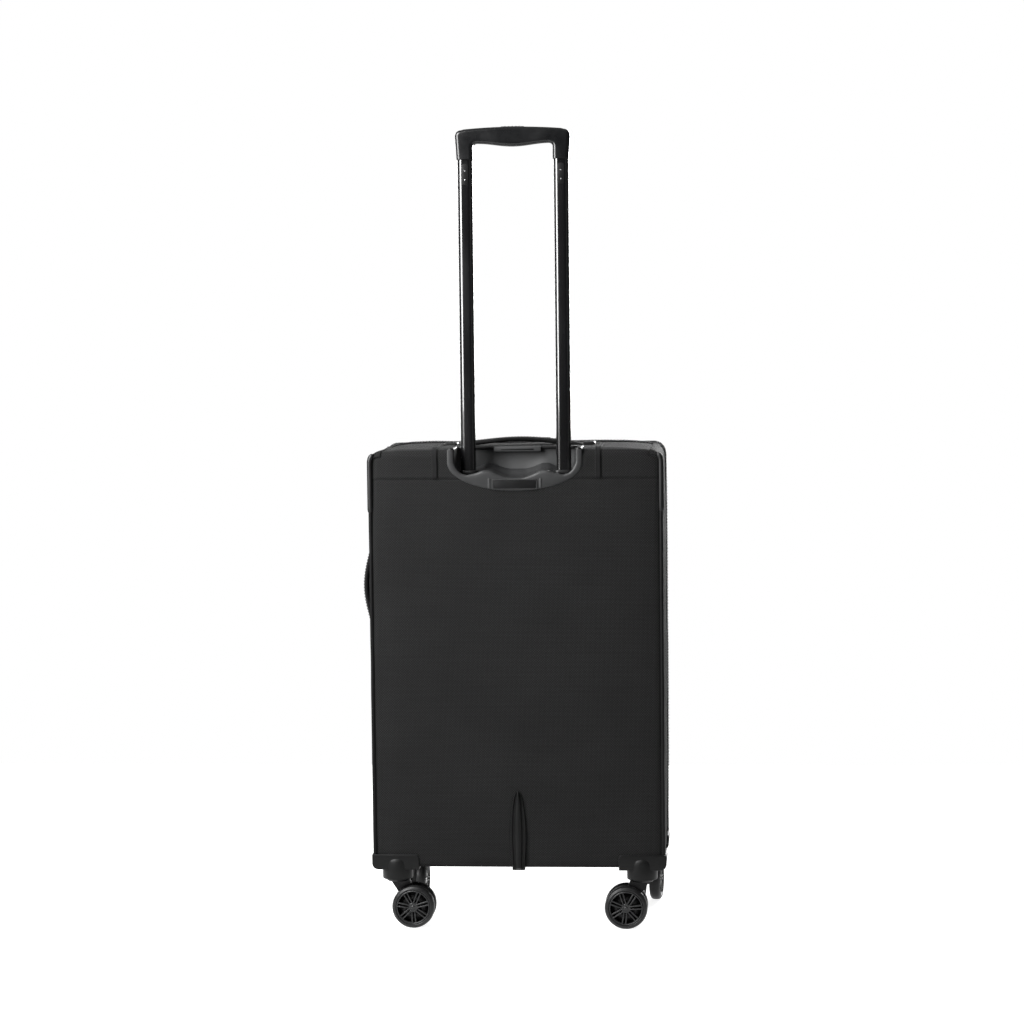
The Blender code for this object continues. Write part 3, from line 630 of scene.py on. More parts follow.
def back_width(run):
    """Half the width of the back and top sheet at a run up the back."""
    if run < BOTTOM + CORNER:
        return HALF - CORNER + sqrt(max((CORNER - EDGE_R) ** 2 - (BOTTOM + CORNER - run) ** 2, 0.0))
    if run > RUN_FOLD:
        return HALF - CORNER
    if run > TOP - CORNER:
        steps = [radians(5 * i) for i in range(19)]
        heights = [TOP - CORNER + (CORNER - rear_radius(a)) * sin(a) for a in steps]
        widths = [HALF - CORNER + (CORNER - rear_radius(a)) * cos(a) for a in steps]
        return float(np.interp(run, heights, widths))
    return HALF - EDGE_R


def rear_radius(turn):
    """Radius of the rear edge where the outline has turned from the side (0) towards the top (90 degrees)."""
    return EDGE_R + (FOLD_R - EDGE_R) * smooth_step(0, pi / 2, turn)


def cup_distance(x, run):
    """Distance outside the recess's bezel, seen from the back."""
    if run > CUP_SPRING:
        return abs(x) - BEZEL_HALF
    down = CUP_SPRING - run
    return (hypot(x / BEZEL_HALF, down / BEZEL_DROP) - 1) * (BEZEL_DROP + (BEZEL_HALF - BEZEL_DROP) * 0.4)


def puff_back(x, run):
    """How far the back and top sheet stands out of its plane."""
    width = back_width(run)
    edge = min(width - abs(x), run - BOTTOM)
    soft = (0.0016 * smooth_step(0, 0.03, edge) + 0.0010 * wave(x, run, 1.3, 0.11)
            + 0.0004 * wave(x, run, 5.1, 0.035))
    soft -= 0.0013 * (1 - smooth_step(0.0, 0.007, width - abs(x)))
    soft += 0.0006 * sin(pi * min(max((run - BOTTOM) / (YOKE_Z - BOTTOM), 0), 1))
    if abs(run - YOKE_Z) < 0.03:
        pucker = 0.6 + 0.4 * wave(x, 0, 9.0, 0.0045)
        soft -= 0.0013 * pucker * np.exp(-((run - YOKE_Z) / 0.0016) ** 2)
        soft += 0.0005 * (1 if run > YOKE_Z else -0.2) * np.exp(-((run - YOKE_Z - 0.004) / 0.004) ** 2)
        soft += 0.00035 * wave(x, 0, 3.0, 0.006) * np.exp(-((run - YOKE_Z) / 0.009) ** 2)
    soft += 0.0004 * np.exp(-(cup_distance(x, run) / 0.006) ** 2) if run < RUN_FOLD else 0.0
    if run > RUN_TOP:
        soft += 0.0012 * wave(x, run, 2.2, 0.06) + 0.0010 * smooth_step(0, 0.05, width - abs(x))
        soft *= smooth_step(0, 0.012, RUN_END - run)
    return soft * smooth_step(0, 0.004, run - BOTTOM + 0.001)


def back_point(x, run, lift=0.0):
    """(point, outward) on the sheet that covers the back, rolls over the edge and makes the top."""
    out = puff_back(x, run) + lift
    if run <= RUN_FOLD:
        return Vector((MID + x, BACK - out, run)), REARWARD
    if run <= RUN_TOP:
        a = (run - RUN_FOLD) / FOLD_R
        outward = Vector((0, -cos(a), sin(a)))
        return Vector((MID + x, BACK + FOLD_R, RUN_FOLD)) + outward * (FOLD_R + out), outward
    return Vector((MID + x, BACK + FOLD_R + run - RUN_TOP, TOP + out)), UP


def shell_cloth(name, rows, inside, body, *nodes, loop=False, cut=None):
    """Padded shell fabric that stands for CAD panels, its faces turned away from a point inside."""
    sheet = grid(name, rows, SHELL, loop)
    if cut:
        shape = bmesh.new()
        shape.from_mesh(sheet.data)
        hole = [f for f in shape.faces if cut(f.calc_center_median())]
        bmesh.ops.delete(shape, geom=hole, context="FACES")
        shape.to_mesh(sheet.data)
        shape.free()
    outward_faces(sheet, Vector(inside))
    modify(sheet, "SOLIDIFY", thickness=CLOTH, offset=-1.0)
    settle(sheet, body, "shell_fabric", *nodes)


def back_sheet():
    runs = spaced(BOTTOM + EDGE_R, RUN_FOLD, 0.0034,
                  [(YOKE_Z, 0.010, 0.0008), (BOTTOM, 0.02, 0.0015), (TOP, 0.02, 0.0012)])
    runs += [RUN_FOLD + FOLD_R * radians(9 * i) for i in range(1, 11)]
    cup_end = RUN_TOP + CUP_REAR - BACK - FOLD_R
    runs += spaced(RUN_TOP, cup_end, 0.004)[1:] + spaced(cup_end, RUN_END, 0.004)[1:]
    columns, crowd = 150, 0.12             # columns stand closer together at the edges
    rows = []
    for run in runs:
        width = back_width(run)
        across = [2 * j / columns - 1 for j in range(columns + 1)]
        rows.append([back_point(width * (t * (1 + crowd) - crowd * t ** 3), run)[0] for t in across])
    reach, drop = CUP_HALF + 0.0048, 0.033

    def over_recess(point):
        x, z = point.x - MID, point.z
        if point.y > CUP_REAR:
            return False
        if z > CUP_SPRING:
            return abs(x) < reach
        return (x / reach) ** 2 + ((CUP_SPRING - z) / drop) ** 2 < 1
    shell_cloth("back_fabric", rows, (MID, 0, INSIDE_Z), "case", "back_panel", "top_panel", cut=over_recess)


def outward_faces(thing, centre):
    """Turn an open sheet's faces away from a point."""
    shape = bmesh.new()
    shape.from_mesh(thing.data)
    votes = sum(1 if f.normal.dot(f.calc_center_median() - centre) > 0 else -1 for f in shape.faces)
    if votes < 0:
        bmesh.ops.reverse_faces(shape, faces=shape.faces)
    shape.to_mesh(thing.data)
    shape.free()
    return thing


def side_outline():
    """Points up the right side of the case seen from the back, as (x, z, nx, nz, turn)."""
    points = []
    c = CORNER
    for a in spaced(-pi / 2, 0, 0.18):
        points.append((HALF - c + c * cos(a), BOTTOM + c + c * sin(a), cos(a), sin(a), 0.0))
    for z in spaced(BOTTOM + c, TOP - c, 0.004)[1:-1]:
        points.append((HALF, z, 1.0, 0.0, 0.0))
    for a in spaced(0, pi / 2, 0.12):
        points.append((HALF - c + c * cos(a), TOP - c + c * sin(a), cos(a), sin(a), a))
    return points


def puff_side(side, z, y, corner):
    """How far a side stands out of its plane."""
    tall = min(max((z - BOTTOM) / (TOP - BOTTOM), 0), 1)
    deep = min(max((y - BACK) / (TRAY - BACK), 0), 1)
    soft = 0.0030 * sin(pi * tall) ** 0.6 * sin(pi * deep) ** 0.7
    soft += (0.0016 * wave(y + side, z, 4.0, 0.10) * sin(pi * deep)
             + 0.0006 * wave(y, z + side, 7.0, 0.04) * sin(pi * deep))
    return soft * (1 - 0.6 * corner)


def side_sheets():
    turns = [("turn", radians(90 - 15 * k)) for k in range(6)]
    depths = [("flat", y) for y in spaced(0.0, 1.0, 0.02)]
    for name, side in SIDES:
        rows = []
        for x, z, nx, nz, turn in side_outline():
            radius = rear_radius(turn)
            row = []
            for kind, value in turns + depths:
                if kind == "turn":
                    inset, y = radius * (1 - cos(value)), BACK + radius * (1 - sin(value))
                else:
                    inset, y = 0.0, BACK + radius + value * (TRAY - BACK - radius)
                out = puff_side(side, z, y, abs(nz)) - inset
                row.append(Vector((MID + side * (x + nx * out), y, z + nz * out)))
            rows.append(row)
        shell_cloth("side_fabric_" + name, rows, (MID, 0, INSIDE_Z), "case", "side_panel_" + name)


def bottom_sheet():
    columns = 60
    xs = [(HALF - CORNER) * (2 * j / columns - 1) for j in range(columns + 1)]
    rows = []
    for a in (radians(90 - 15 * k) for k in range(7)):
        y, z = BACK + EDGE_R * (1 - sin(a)), BOTTOM + EDGE_R * (1 - cos(a))
        rows.append([Vector((MID + x, y, z)) for x in xs])
    for y in spaced(BACK + EDGE_R, TRAY, 0.005)[1:]:
        row = []
        for x in xs:
            sag = 0.0012 * wave(x, y, 3.3, 0.07) + 0.0010
            row.append(Vector((MID + x, y, BOTTOM - sag * sin(pi * (y - BACK) / (TRAY - BACK)))))
        rows.append(row)
    shell_cloth("bottom_fabric", rows, (MID, 0, INSIDE_Z), "case", "bottom_panel")


def seams():
    """Yoke stitching, the two bound strips and their stitches."""
    seam_start, seam_end = 0.0895, HALF - 0.012
    for name, start, end in (("left", -seam_end, -seam_start), ("right", seam_start, seam_end)):
        line = [back_point(start + (end - start) * i / 60, YOKE_Z + 0.0022 + 0.0002 * wave(i, 0, 0, 7.0))
                for i in range(61)]
        sew("yoke_stitch_" + name, line, "case")
    width = 0.0078
    for name, x in zip(("left", "right"), STRIP_X):
        runs = spaced(YOKE_Z + 0.001, RUN_TOP + 0.095, 0.003, [(RUN_FOLD, 0.02, 0.0015)])
        shift = [0.0004 * wave(run, 0, x, 0.05) for run in runs]
        line = [back_point(x + off, run, 0.0003) for off, run in zip(shift, runs)]
        strip = sweep("bound_strip_" + name, line, ribbon(width, 0.0011), BINDING)
        settle(strip, "case", "shell_fabric")
        for edge in (-1, 1):
            line = [back_point(x + edge * (width / 2 - 0.0014) + off, run, 0.0014)
                    for off, run in zip(shift, runs)]
            sew(f"strip_stitch_{name}_{'ab'[edge > 0]}", line, "case", 0.0026, 0.0012, 0.0003)


GUARD_TURN = 48               # how far piping and guards go round the upper corners, in degrees


def edges():
    """Piping down both rear edges, and the moulded guard over each upper corner."""
    guard_low = low("corner_guard_left").z

    def round_corner(side, radius, depth, turn, step, lean=1.0):
        return [(Vector((MID + side * (HALF - CORNER + radius * cos(a)), BACK + depth,
                         TOP - CORNER + radius * sin(a))),
                 Vector((side * lean * cos(a), -1, lean * sin(a))).normalized())
                for a in spaced(0, radians(turn), step)[1:]]
    for name, side in SIDES:
        sink, depth = 0.0008, 0.0010
        line = []
        for z in spaced(BOTTOM + 0.006, TOP - CORNER, 0.006):
            out = 0.0004 * wave(z, side, 0, 0.05)
            line.append((Vector((MID + side * (HALF - sink + out), BACK + depth, z)),
                         Vector((side, -1, 0)).normalized()))
        line += round_corner(side, CORNER - sink, depth, GUARD_TURN + 4, 0.08)
        count = len(line)
        thin = [min(1.0, 0.3 + 0.14 * (count - 1 - i)) for i in range(count)]
        piping = sweep("rear_piping_cord_" + name, line, ring(0.0026, 0.0026, 10), PIPING, False, thin)
        settle(piping, "case", "piping", "rear_piping_" + name)
        sink, depth, lean = 0.0003, 0.0006, 0.55
        path = [(Vector((MID + side * (HALF - sink), BACK + depth, z)),
                 Vector((side * lean, -1, 0)).normalized())
                for z in spaced(guard_low, TOP - CORNER, 0.004)]
        path += round_corner(side, CORNER - sink, depth, GUARD_TURN, 0.07, lean)
        count = len(path)
        sizes = [sqrt(max(1 - max(0, 1 - i / 2.2) ** 2 - max(0, 1 - (count - 1 - i) / 6.0) ** 2, 0.02))
                 for i in range(count)]
        guard = sweep("corner_guard_strip_" + name, path, ring(0.0036, 0.0032, 16), GUARD, False, sizes)
        settle(guard, "case", "piping", "corner_guard_" + name)


back_sheet()
side_sheets()
bottom_sheet()
seams()
edges()


# ---- the recess that takes the grip --------------------------------------
LIP_MID, LIP_HUMP, LIP_POLE = 0.6305, 0.6430, 0.6350


def lip_height(x):
    """Height of the recess's front lip: low in the middle, a hump inside each pole, low at the pole."""
    x = abs(x)
    places = [0.0, 0.012, 0.024, 0.034, 0.044, 0.054, 0.0665, 0.074, 0.079, 0.0825, CUP_HALF]
    heights = [LIP_MID, LIP_MID + 0.0008, 0.6355, 0.6405, LIP_HUMP - 0.0012, 0.6378, LIP_POLE, 0.6370, 0.6415,
               0.6475, CUP_SPRING]
    return float(np.interp(x, places, heights))


def recess():
    """The moulding's bezel, front lip and dish, and the dish's back wall."""
    turns = 72
    spring = 0.662                         # the bezel runs straight up above this height
    outer = [(-BEZEL_HALF, TRIM_TOP - 0.002), (-BEZEL_HALF, spring)]
    outer += arc(0, CUP_SPRING, BEZEL_HALF, BEZEL_DROP, 180, 360, turns)
    outer += [(BEZEL_HALF, spring), (BEZEL_HALF, TRIM_TOP - 0.002)]
    inner = [(u * CUP_HALF / BEZEL_HALF, v) for u, v in outer]
    inner = [(x, v if v >= CUP_SPRING else lip_height(x)) for x, v in inner]
    profile = [(0.0, BACK - TRIM_BACK - 0.0004), (0.0, 0.0012), (0.03, 0.0005), (0.09, 0.0001),
               (0.2, -0.0001), (0.5, -0.0002), (0.78, 0.0), (0.90, 0.0006), (0.97, 0.0018), (1.0, 0.0040)]
    rows = [[Vector((MID + a[0] + (b[0] - a[0]) * t, TRIM_BACK + depth, a[1] + (b[1] - a[1]) * t))
             for a, b in zip(outer, inner)] for t, depth in profile]
    # the lip turns into the dish: its floor runs back, a little lower behind, and rises into the back wall
    lip_depth = 0.004
    depth_total = CUP_WALL - (TRIM_BACK + lip_depth)
    for t in spaced(0.0, 1.0, 0.08)[1:]:
        row = []
        for x, v in inner:
            dip = 0.0025 * sin(pi * min(t * 1.4, 1.0)) * (1 if v < CUP_SPRING else 0)
            rise = 0.010 * smooth_step(0.72, 1.0, t) if v < CUP_SPRING else 0.0
            level = v - dip + rise * (1 - abs(x) / CUP_HALF * 0.6)
            pull = 0.004 * smooth_step(0.75, 1.0, t) * (1 if x > 0 else -1)
            pull *= smooth_step(0.6, 1, abs(x) / CUP_HALF)
            depth = TRIM_BACK + lip_depth + depth_total * (1 - (1 - t) ** 1.15)
            row.append(Vector((MID + x - pull, depth, level)))
        rows.append(row)
    bowl = grid("recess_bowl", rows, BEZEL)
    outward_faces(bowl, Vector((MID, 0.0, 0.600)))
    settle(bowl, "case", "trim_plastic", "recess_cup")
    foot_line = [(p.x - MID, p.z) for p in rows[-1]]
    steps = 14
    rows = []
    for t in (k / steps for k in range(steps + 1)):
        rows.append([Vector((MID + x, CUP_WALL + 0.0022 * sin(pi * t) * (1 - (x / CUP_HALF) ** 2),
                             z + (TRIM_TOP - 0.0006 - z) * t)) for x, z in foot_line])
    wall = grid("recess_back_wall", rows, DISH)
    outward_faces(wall, Vector((MID, 0.2, 0.65)))
    settle(wall, "case", "trim_plastic")


def recess_rim():
    """Rim on the top panel behind and beside the recess."""
    x, z = (BEZEL_HALF + CUP_HALF) / 2, TRIM_TOP - 0.0026
    depths = spaced(TRIM_BACK + 0.0008, high("recess_cup").y - 0.004, 0.006)
    places = [(MID - x, y) for y in depths]
    places += [(MID + u, CUP_REAR) for u in spaced(-BEZEL_HALF + 0.008, BEZEL_HALF - 0.008, 0.008)]
    places += [(MID + x, y) for y in reversed(depths)]
    half = [(-0.0048, -0.0014), (-0.0046, 0.0014), (-0.0034, 0.0026)]
    section = half + [(0, 0.0027)] + [(-u, v) for u, v in reversed(half)]
    rim = sweep("recess_rim", [(Vector((u, y, z)), UP) for u, y in places], section, DARK_TRIM)
    settle(rim, "case", "trim_plastic")


def pole_collars():
    reach = 0.0020                         # the collar's middle outside the pole, and half its width
    section = [(-reach + 0.0004, -0.008), (-reach + 0.0004, 0.0002), (-reach + 0.0010, 0.0010),
               (reach - 0.0008, 0.0008), (reach, -0.0002), (reach, -0.008)]
    for name, _ in SIDES:
        (x0, y0, _), (x1, y1, _) = node_box("inner_tube_" + name)
        outline = rounded(x0 - reach, x1 + reach, y0 - reach, y1 + reach, 0.007, 5)
        line = [(Vector((x, y, 0.6395)), UP) for x, y in outline]
        settle(sweep("pole_collar_" + name, line, section, DARK_TRIM, True), "case", "trim_plastic")


def label_plate():
    """Blank label plate in the lip, with a border and a rib at each side."""
    foot, head, half = 0.6162, 0.6278, 0.0298
    outline = [(MID + u, v) for u, v in rounded(-half, half, foot, head, 0.0012)]
    label = plate("label_plate", outline, "XZ", TRIM_BACK - 0.0006, TRIM_BACK + 0.0010, DARK_TRIM, 0.0003, 2)
    settle(label, "case", "trim_plastic")
    gap = 0.0008
    line = [(Vector((MID + u, TRIM_BACK - 0.0002, v)), REARWARD)
            for u, v in rounded(-half - gap, half + gap, foot - gap, head + gap, 0.0018)]
    settle(sweep("label_border", line, ring(0.0007, 0.0009, 8), BEZEL, True), "case", "trim_plastic")
    for name, side in SIDES:
        outline = [(MID + side * (half + 0.0058) + u, v)
                   for u, v in rounded(-0.0016, 0.0016, foot + 0.0004, head + 0.0026, 0.0015)]
        rib = plate("label_rib_" + name, outline, "XZ", TRIM_BACK - 0.0010, TRIM_BACK + 0.0008, DISH,
                    0.0006, 3)
        settle(rib, "case", "trim_plastic")


def tag_slot():
    """Tag slot at the top of the back wall, with a bar in it."""
    half, bar_half, foot = 0.033, 0.023, TOP - 0.0045
    holder = box("tag_slot", (MID - half, MID + half), (CUP_WALL - 0.0055, CUP_WALL + 0.001),
                 (foot, TRIM_TOP - 0.0004), DISH, 0.0008)
    settle(holder, "case", "trim_plastic")
    bar = box("tag_slot_bar", (MID - bar_half, MID + bar_half), (CUP_WALL - 0.0062, CUP_WALL - 0.003),
              (foot + 0.0022, foot + 0.0042), DARK_TRIM, 0.0006)
    settle(bar, "case", "trim_plastic")


recess()
recess_rim()
pole_collars()
label_plate()
tag_slot()


# ---- skid rail -----------------------------------------------------------
def skid():
    """Skid rail at the foot of the back: a boat-shaped moulding with a ridge, and a lip under the case."""
    box_low, box_high = node_box("skid_rail")
    half, foot, spring = (box_high.x - box_low.x) / 2, 0.0090, 0.130
    base = TRIM_BACK + 0.0006
    columns = 32
    rows = []
    for z in spaced(box_low.z + 0.0006, box_high.z - 0.0002, 0.0022,
                    [(box_high.z, 0.012, 0.0008), (box_low.z, 0.006, 0.0006)]):
        if z < spring:
            width = foot + (half - foot) * smooth_step(box_low.z, spring, z)
        else:
            width = half * sqrt(max(1 - ((z - spring) / (box_high.z - spring)) ** 2, 0.0006))
        tip = smooth_step(0, 0.004, box_high.z - z)
        foot_round = smooth_step(0, 0.0035, z - box_low.z - 0.0008)
        ridge_half = min(0.0056, width * 0.50)
        row = []
        for q in (2 * k / columns - 1 for k in range(columns + 1)):
            x = q * width
            shoulder = 0.0014 * np.exp(-((abs(q) - 0.84) / 0.10) ** 2)
            ridge = 0.0042 * foot_round * max(1 - (abs(x) / ridge_half) ** 2, 0) ** 0.55
            height = (shoulder + ridge) * tip + 0.0004
            if abs(q) > 0.96:
                height = -0.0022
            row.append(Vector((MID + x, base - height, z)))
        rows.append(row)
    rail = grid("skid_rail_moulding", rows, TRIM)
    outward_faces(rail, Vector((MID, 0.2, 0.14)))
    lip = box("skid_lip", (MID - foot + 0.0006, MID + foot - 0.0006), (TRIM_BACK + 0.0004, box_high.y),
              (box_low.z, BOTTOM - 0.0004), TRIM, 0.0009)
    settle(joined("skid_rail_shape", [rail, lip]), "case", "trim_plastic", "skid_rail")


skid()


# ---- trolley handle ------------------------------------------------------
POLE_CORNER = 0.0072


def trolley():
    """Sleeves, poles, and two rivets on a thin inlay at the top of each pole."""
    profile = [(0.0001, -0.0002), (0.0009, -0.0001), (0.0014, 0.0002), (0.0017, 0.0007), (0.0018, 0.0014),
               (0.0001, 0.0014)]
    for name, _ in SIDES:
        dress("outer_tube_" + name, SLEEVE)
        (x0, y0, z0), (x1, y1, z1) = node_box("inner_tube_" + name)
        pole = plate("pole_" + name, rounded(x0, x1, y0, y1, POLE_CORNER, 12), "XY", z0, z1, POLE)
        settle(pole, "trolley", "pole_metal", "inner_tube_" + name)
        x = (x0 + x1) / 2
        for letter, drop in (("a", 0.0155), ("b", 0.0275)):
            rivet = lathe("pole_rivet", profile, STEEL, 20)
            rivet.matrix_world = Matrix.Translation((x, y0 - 0.00002, z1 - drop))
            rivet.name = f"pole_rivet_{name}_{letter}"
            settle(rivet, "trolley", "sleeve_metal")
        inlay = plate("pole_inlay_" + name, rounded(x - 0.0050, x + 0.0050, z1 - 0.0345, z1 - 0.006, 0.003),
                      "XZ", y0 - 0.00012, y0 + 0.0004, DARK_TRIM, 0.0001, 2)
        settle(inlay, "trolley", "trim_plastic")


GRIP_ROUND = 0.0082


def grip():
    """The grip bar with a leg over each pole, a slot in its crown, and the release button in the slot."""
    (x0, y0, _), (x1, y1, z1) = node_box("grip")
    half, leg_low, leg = (x1 - x0) / 2, 1.070, 0.0113
    pole_x = (high("inner_tube_right").x + low("inner_tube_right").x) / 2 - MID
    corner = arc(half - 0.0085, z1 - 0.0125, 0.0085, 0.0085, 0, 90, 10)
    crown = [(x, z1 - 0.0035 * (x / 0.0747) ** 2) for x in spaced(0, half - 0.0125, 0.006)][::-1]
    fillet = arc(pole_x - leg - 0.0055, 1.0861, 0.0055, 0.0055, 0, 90, 8)
    belly = [(x, 1.0916 - 0.0043 * cos(pi * x / 0.1003) ** 2) for x in spaced(0, 0.045, 0.005)][::-1]
    over = [(pole_x + leg, leg_low), (pole_x + leg + 0.0006, leg_low + 0.012)] + corner + crown[:-1]
    under = [(pole_x - leg, leg_low)] + fillet + belly[:-1]
    outline = over + [(0, z1)] + [(-u, v) for u, v in reversed(over)]
    outline += [(-u, v) for u, v in under] + [(0, 1.0873)] + under[::-1]
    y_mid, half_y = (y0 + y1) / 2, (y1 - y0) / 2
    bar = plate("grip_bar", [(MID + u, v) for u, v in outline], "XZ", y_mid - half_y, y_mid + half_y, GRIP)
    soft = bar.data.attributes.new("bevel_weight_edge", "FLOAT", "EDGE")
    for number, edge in enumerate(bar.data.edges):
        a, b = (bar.data.vertices[v].co for v in edge.vertices)
        on_face = abs(a.y - b.y) < 1e-6
        soft.data[number].value = float(on_face and max(a.z, b.z) > leg_low + 0.001)
    modify(bar, "BEVEL", width=GRIP_ROUND, segments=8, limit_method="WEIGHT")
    slot_x, slot_y = 0.0172, 0.0070
    slot = rounded(MID - slot_x, MID + slot_x, y_mid - slot_y, y_mid + slot_y, 0.0045, 6)
    tool = plate("slot_tool", slot, "XY", 1.1032, 1.2, GRIP)
    cutter = bar.modifiers.new("slot", "BOOLEAN")
    cutter.operation, cutter.object = "DIFFERENCE", tool
    made = joined("grip_bar_shape", [bar])
    bpy.data.objects.remove(tool)
    made.data.set_sharp_from_angle(angle=radians(50))
    settle(made, "trolley", "grip_plastic", "grip")
    (x0, y0, z0), (x1, y1, z1) = node_box("release_button")
    parts = [plate("button_cap", rounded(x0, x1, y0, y1, 0.0040, 6), "XY", z0, z1 - 0.0003, DARK_TRIM,
                   0.0014, 4)]
    for k in range(5):
        x = MID - 0.0100 + 0.005 * k
        parts.append(box(f"button_rib_{k}", (x - 0.0008, x + 0.0008), (y0 + 0.0022, y1 - 0.0022),
                         (z1 - 0.0012, z1 + 0.0002), DARK_TRIM, 0.0005, 2))
    settle(joined("button_shape", parts), "button", "trim_plastic", "release_button")


trolley()
grip()


# ---- carry handles -------------------------------------------------------
def padded_strap(name, node, body, thick, along, outward):
    """A padded arch whose ends run into its caps; along and outward are unit vectors."""
    lo, hi = node_box(node)
    along, outward, sideways = Vector(along), Vector(outward), FORWARD
    half = abs((hi - lo).dot(along)) / 2 + 0.010
    reach = abs((hi - lo).dot(outward))
    width = abs((hi - lo).dot(sideways)) / 2
    base = (lo + hi) / 2 - outward * (reach / 2)
    thin = 0.0018                          # half the strap's thickness where it isn't padded
    steps, sections = 30, 24
    rows, line = [], []
    for t in (i / steps - 1 for i in range(2 * steps + 1)):
        height = (reach - thick) * (0.5 + 0.5 * cos(pi * min(abs(t) * 1.06, 1.0))) ** 0.8
        pad = smooth_step(0.98, 0.72, abs(t))
        body_half = thin + (thick / 2 - thin) * pad
        lift = thick / 2 * (0.5 + 0.5 * pad)
        point = base + along * (half * t) + outward * (height + 0.0002)
        line.append((point, body_half, lift))
        row = []
        for k in range(sections):
            a = 2 * pi * k / sections
            c, s = cos(a), sin(a)
            across = width * (0.86 + 0.12 * pad) * abs(c) ** 0.75 * (1 if c > 0 else -1)
            lump = 1 + 0.05 * wave(t * 3, k, 2.0, 0.5)
            up = body_half * lump * abs(s) ** 0.72 * (1 if s > 0 else -1)
            up *= 1 - 0.45 * smooth_step(0.78, 0.98, abs(c)) if pad > 0.1 else 1
            row.append(point + sideways * across + outward * (lift + up))
        rows.append(row)
    strap = grid(name, rows, WEB, False, True, True)
    settle(strap, body, "webbing", node)
    for letter, side in (("a", -1), ("b", 1)):
        seam = [(point + sideways * (side * width * 0.70) + outward * (lift + body_half * 0.93), outward)
                for point, body_half, lift in line[4:57]]
        sew(f"{name}_stitch_{letter}", seam, body, 0.0030, 0.0014, 0.0003, -0.0001, LIGHT_THREAD, "webbing")


def screw_head(name, place, normal, body, radius=0.0026):
    """A small countersunk cross-head screw."""
    profile = [(radius, -0.0004), (radius, 0.0002), (radius * 0.85, 0.0005), (0.0001, 0.0006),
               (0.0001, -0.0004)]
    parts = [lathe(name, profile, DARK_TRIM, 20, "Z")]
    for k, (u, v) in enumerate(((0.13, 0.6), (0.6, 0.13))):
        bar = rounded(-radius * u, radius * u, -radius * v, radius * v, 0.00012, 1)
        parts.append(plate(f"{name}_bar_{k}", bar, "XY", 0.0003, 0.00066, DARK_TRIM))
    made = joined(name, parts)
    turn = UP.rotation_difference(Vector(normal)).to_matrix().to_4x4()
    made.matrix_world = Matrix.Translation(place) @ turn
    settle(made, body, "zip_metal")


def handles():
    padded_strap("top_handle_pad", "top_handle", "top_strap", 0.0068, (1, 0, 0), (0, 0, 1))
    padded_strap("side_handle_pad", "side_handle", "side_strap", 0.0078, (0, 0, 1), (-1, 0, 0))
    for end in ("left", "right"):
        node = "top_handle_cap_" + end
        dress(node, TRIM, 0.0006)
        lo, hi = node_box(node)
        place = ((lo.x + hi.x) / 2, (lo.y + hi.y) / 2, hi.z)
        screw_head("cap_screw_top_" + end, place, (0, 0, 1), "case", 0.003)
    for end, off in (("upper", 0.0050), ("lower", -0.0050)):
        node = "side_handle_cap_" + end
        dress(node, TRIM, 0.0006)
        lo, hi = node_box(node)
        place = (lo.x, (lo.y + hi.y) / 2, (lo.z + hi.z) / 2 + off)
        screw_head("cap_screw_side_" + end, place, (-1, 0, 0), "case")


handles()


# ---- casters -------------------------------------------------------------
SPOKES, HUB_R = 7, 0.0238
WHEEL_PHASE = {"rear_left": 41.6, "rear_right": 30.6, "front_left": 10.0, "front_right": 25.0}


def wheel_parts():
    """Meshes of one hub and one tyre about their axle along Y, outer face at +Y, inner face at -Y."""
    tyre_low, tyre_high = node_box("wheel_tyre_rear_left_b")
    radius = (tyre_high.z - tyre_low.z) / 2 / cos(pi / 24)     # the CAD rim has 24 flat sides
    h = (tyre_high.y - tyre_low.y) / 2
    tread = radius - 0.0001
    outer_side = [(HUB_R + 0.0001, h - 0.0012), (HUB_R + 0.0008, h - 0.0004), (0.0262, h - 0.0002),
                  (0.0266, h - 0.0009), (0.0272, h - 0.0010), (0.0280, h - 0.0014), (0.0291, h - 0.0028),
                  (0.0297, h - 0.0046), (tread, h - 0.0066)]
    inner_side = [(tread, -h + 0.0066), (0.0297, -h + 0.0046), (0.0291, -h + 0.0028), (0.0276, -h + 0.0012),
                  (0.0262, -h + 0.0004), (HUB_R + 0.0001, -h + 0.0012)]
    tyre = lathe("tyre", outer_side + inner_side, TYRE, 72)
    rim = lathe("rim", [(0.0216, h - 0.0018), (0.0219, h - 0.0006), (0.0226, h - 0.0001),
                        (0.0233, h - 0.0004), (HUB_R, h - 0.0012), (HUB_R, -h + 0.0012),
                        (0.0226, -h + 0.0008), (0.0216, -h + 0.0020)], HUB, 72)
    disc = lathe("disc", [(0.0032, h - 0.0066), (0.0218, h - 0.0072), (0.0218, h - 0.0092),
                          (0.0032, h - 0.0088)], DARK_TRIM, 48)
    boss = lathe("boss", [(0.0001, h - 0.0004), (0.0018, h - 0.0005), (0.0022, h - 0.0012),
                          (0.0040, h - 0.0013), (0.0054, h - 0.0006), (0.0066, h - 0.0014),
                          (0.0070, h - 0.0080), (0.0034, -h + 0.0008), (0.0001, -h + 0.0008)], HUB, 32)
    parts = [rim, disc, boss]
    start, end, thin, root, tip = 0.0050, 0.0222, 0.00085, 0.0017, 0.0023
    outline = [(start, -thin), (end, -thin * 1.15), (end, thin * 1.15), (start, thin)]
    for k in range(SPOKES):
        for pair in (-1, 1):
            lean = atan2(pair * tip - pair * root, end - start)
            spoke = plate("spoke", outline, "XZ", h - 0.0072, h - 0.0008, HUB, 0.0005, 2)
            spoke.data.transform(Matrix.Translation((0, 0, pair * root)) @ Matrix.Rotation(-lean, 4, "Y"))
            spoke.data.transform(Matrix.Rotation(-2 * pi * k / SPOKES, 4, "Y"))
            parts.append(spoke)
    return joined("hub", parts), tyre


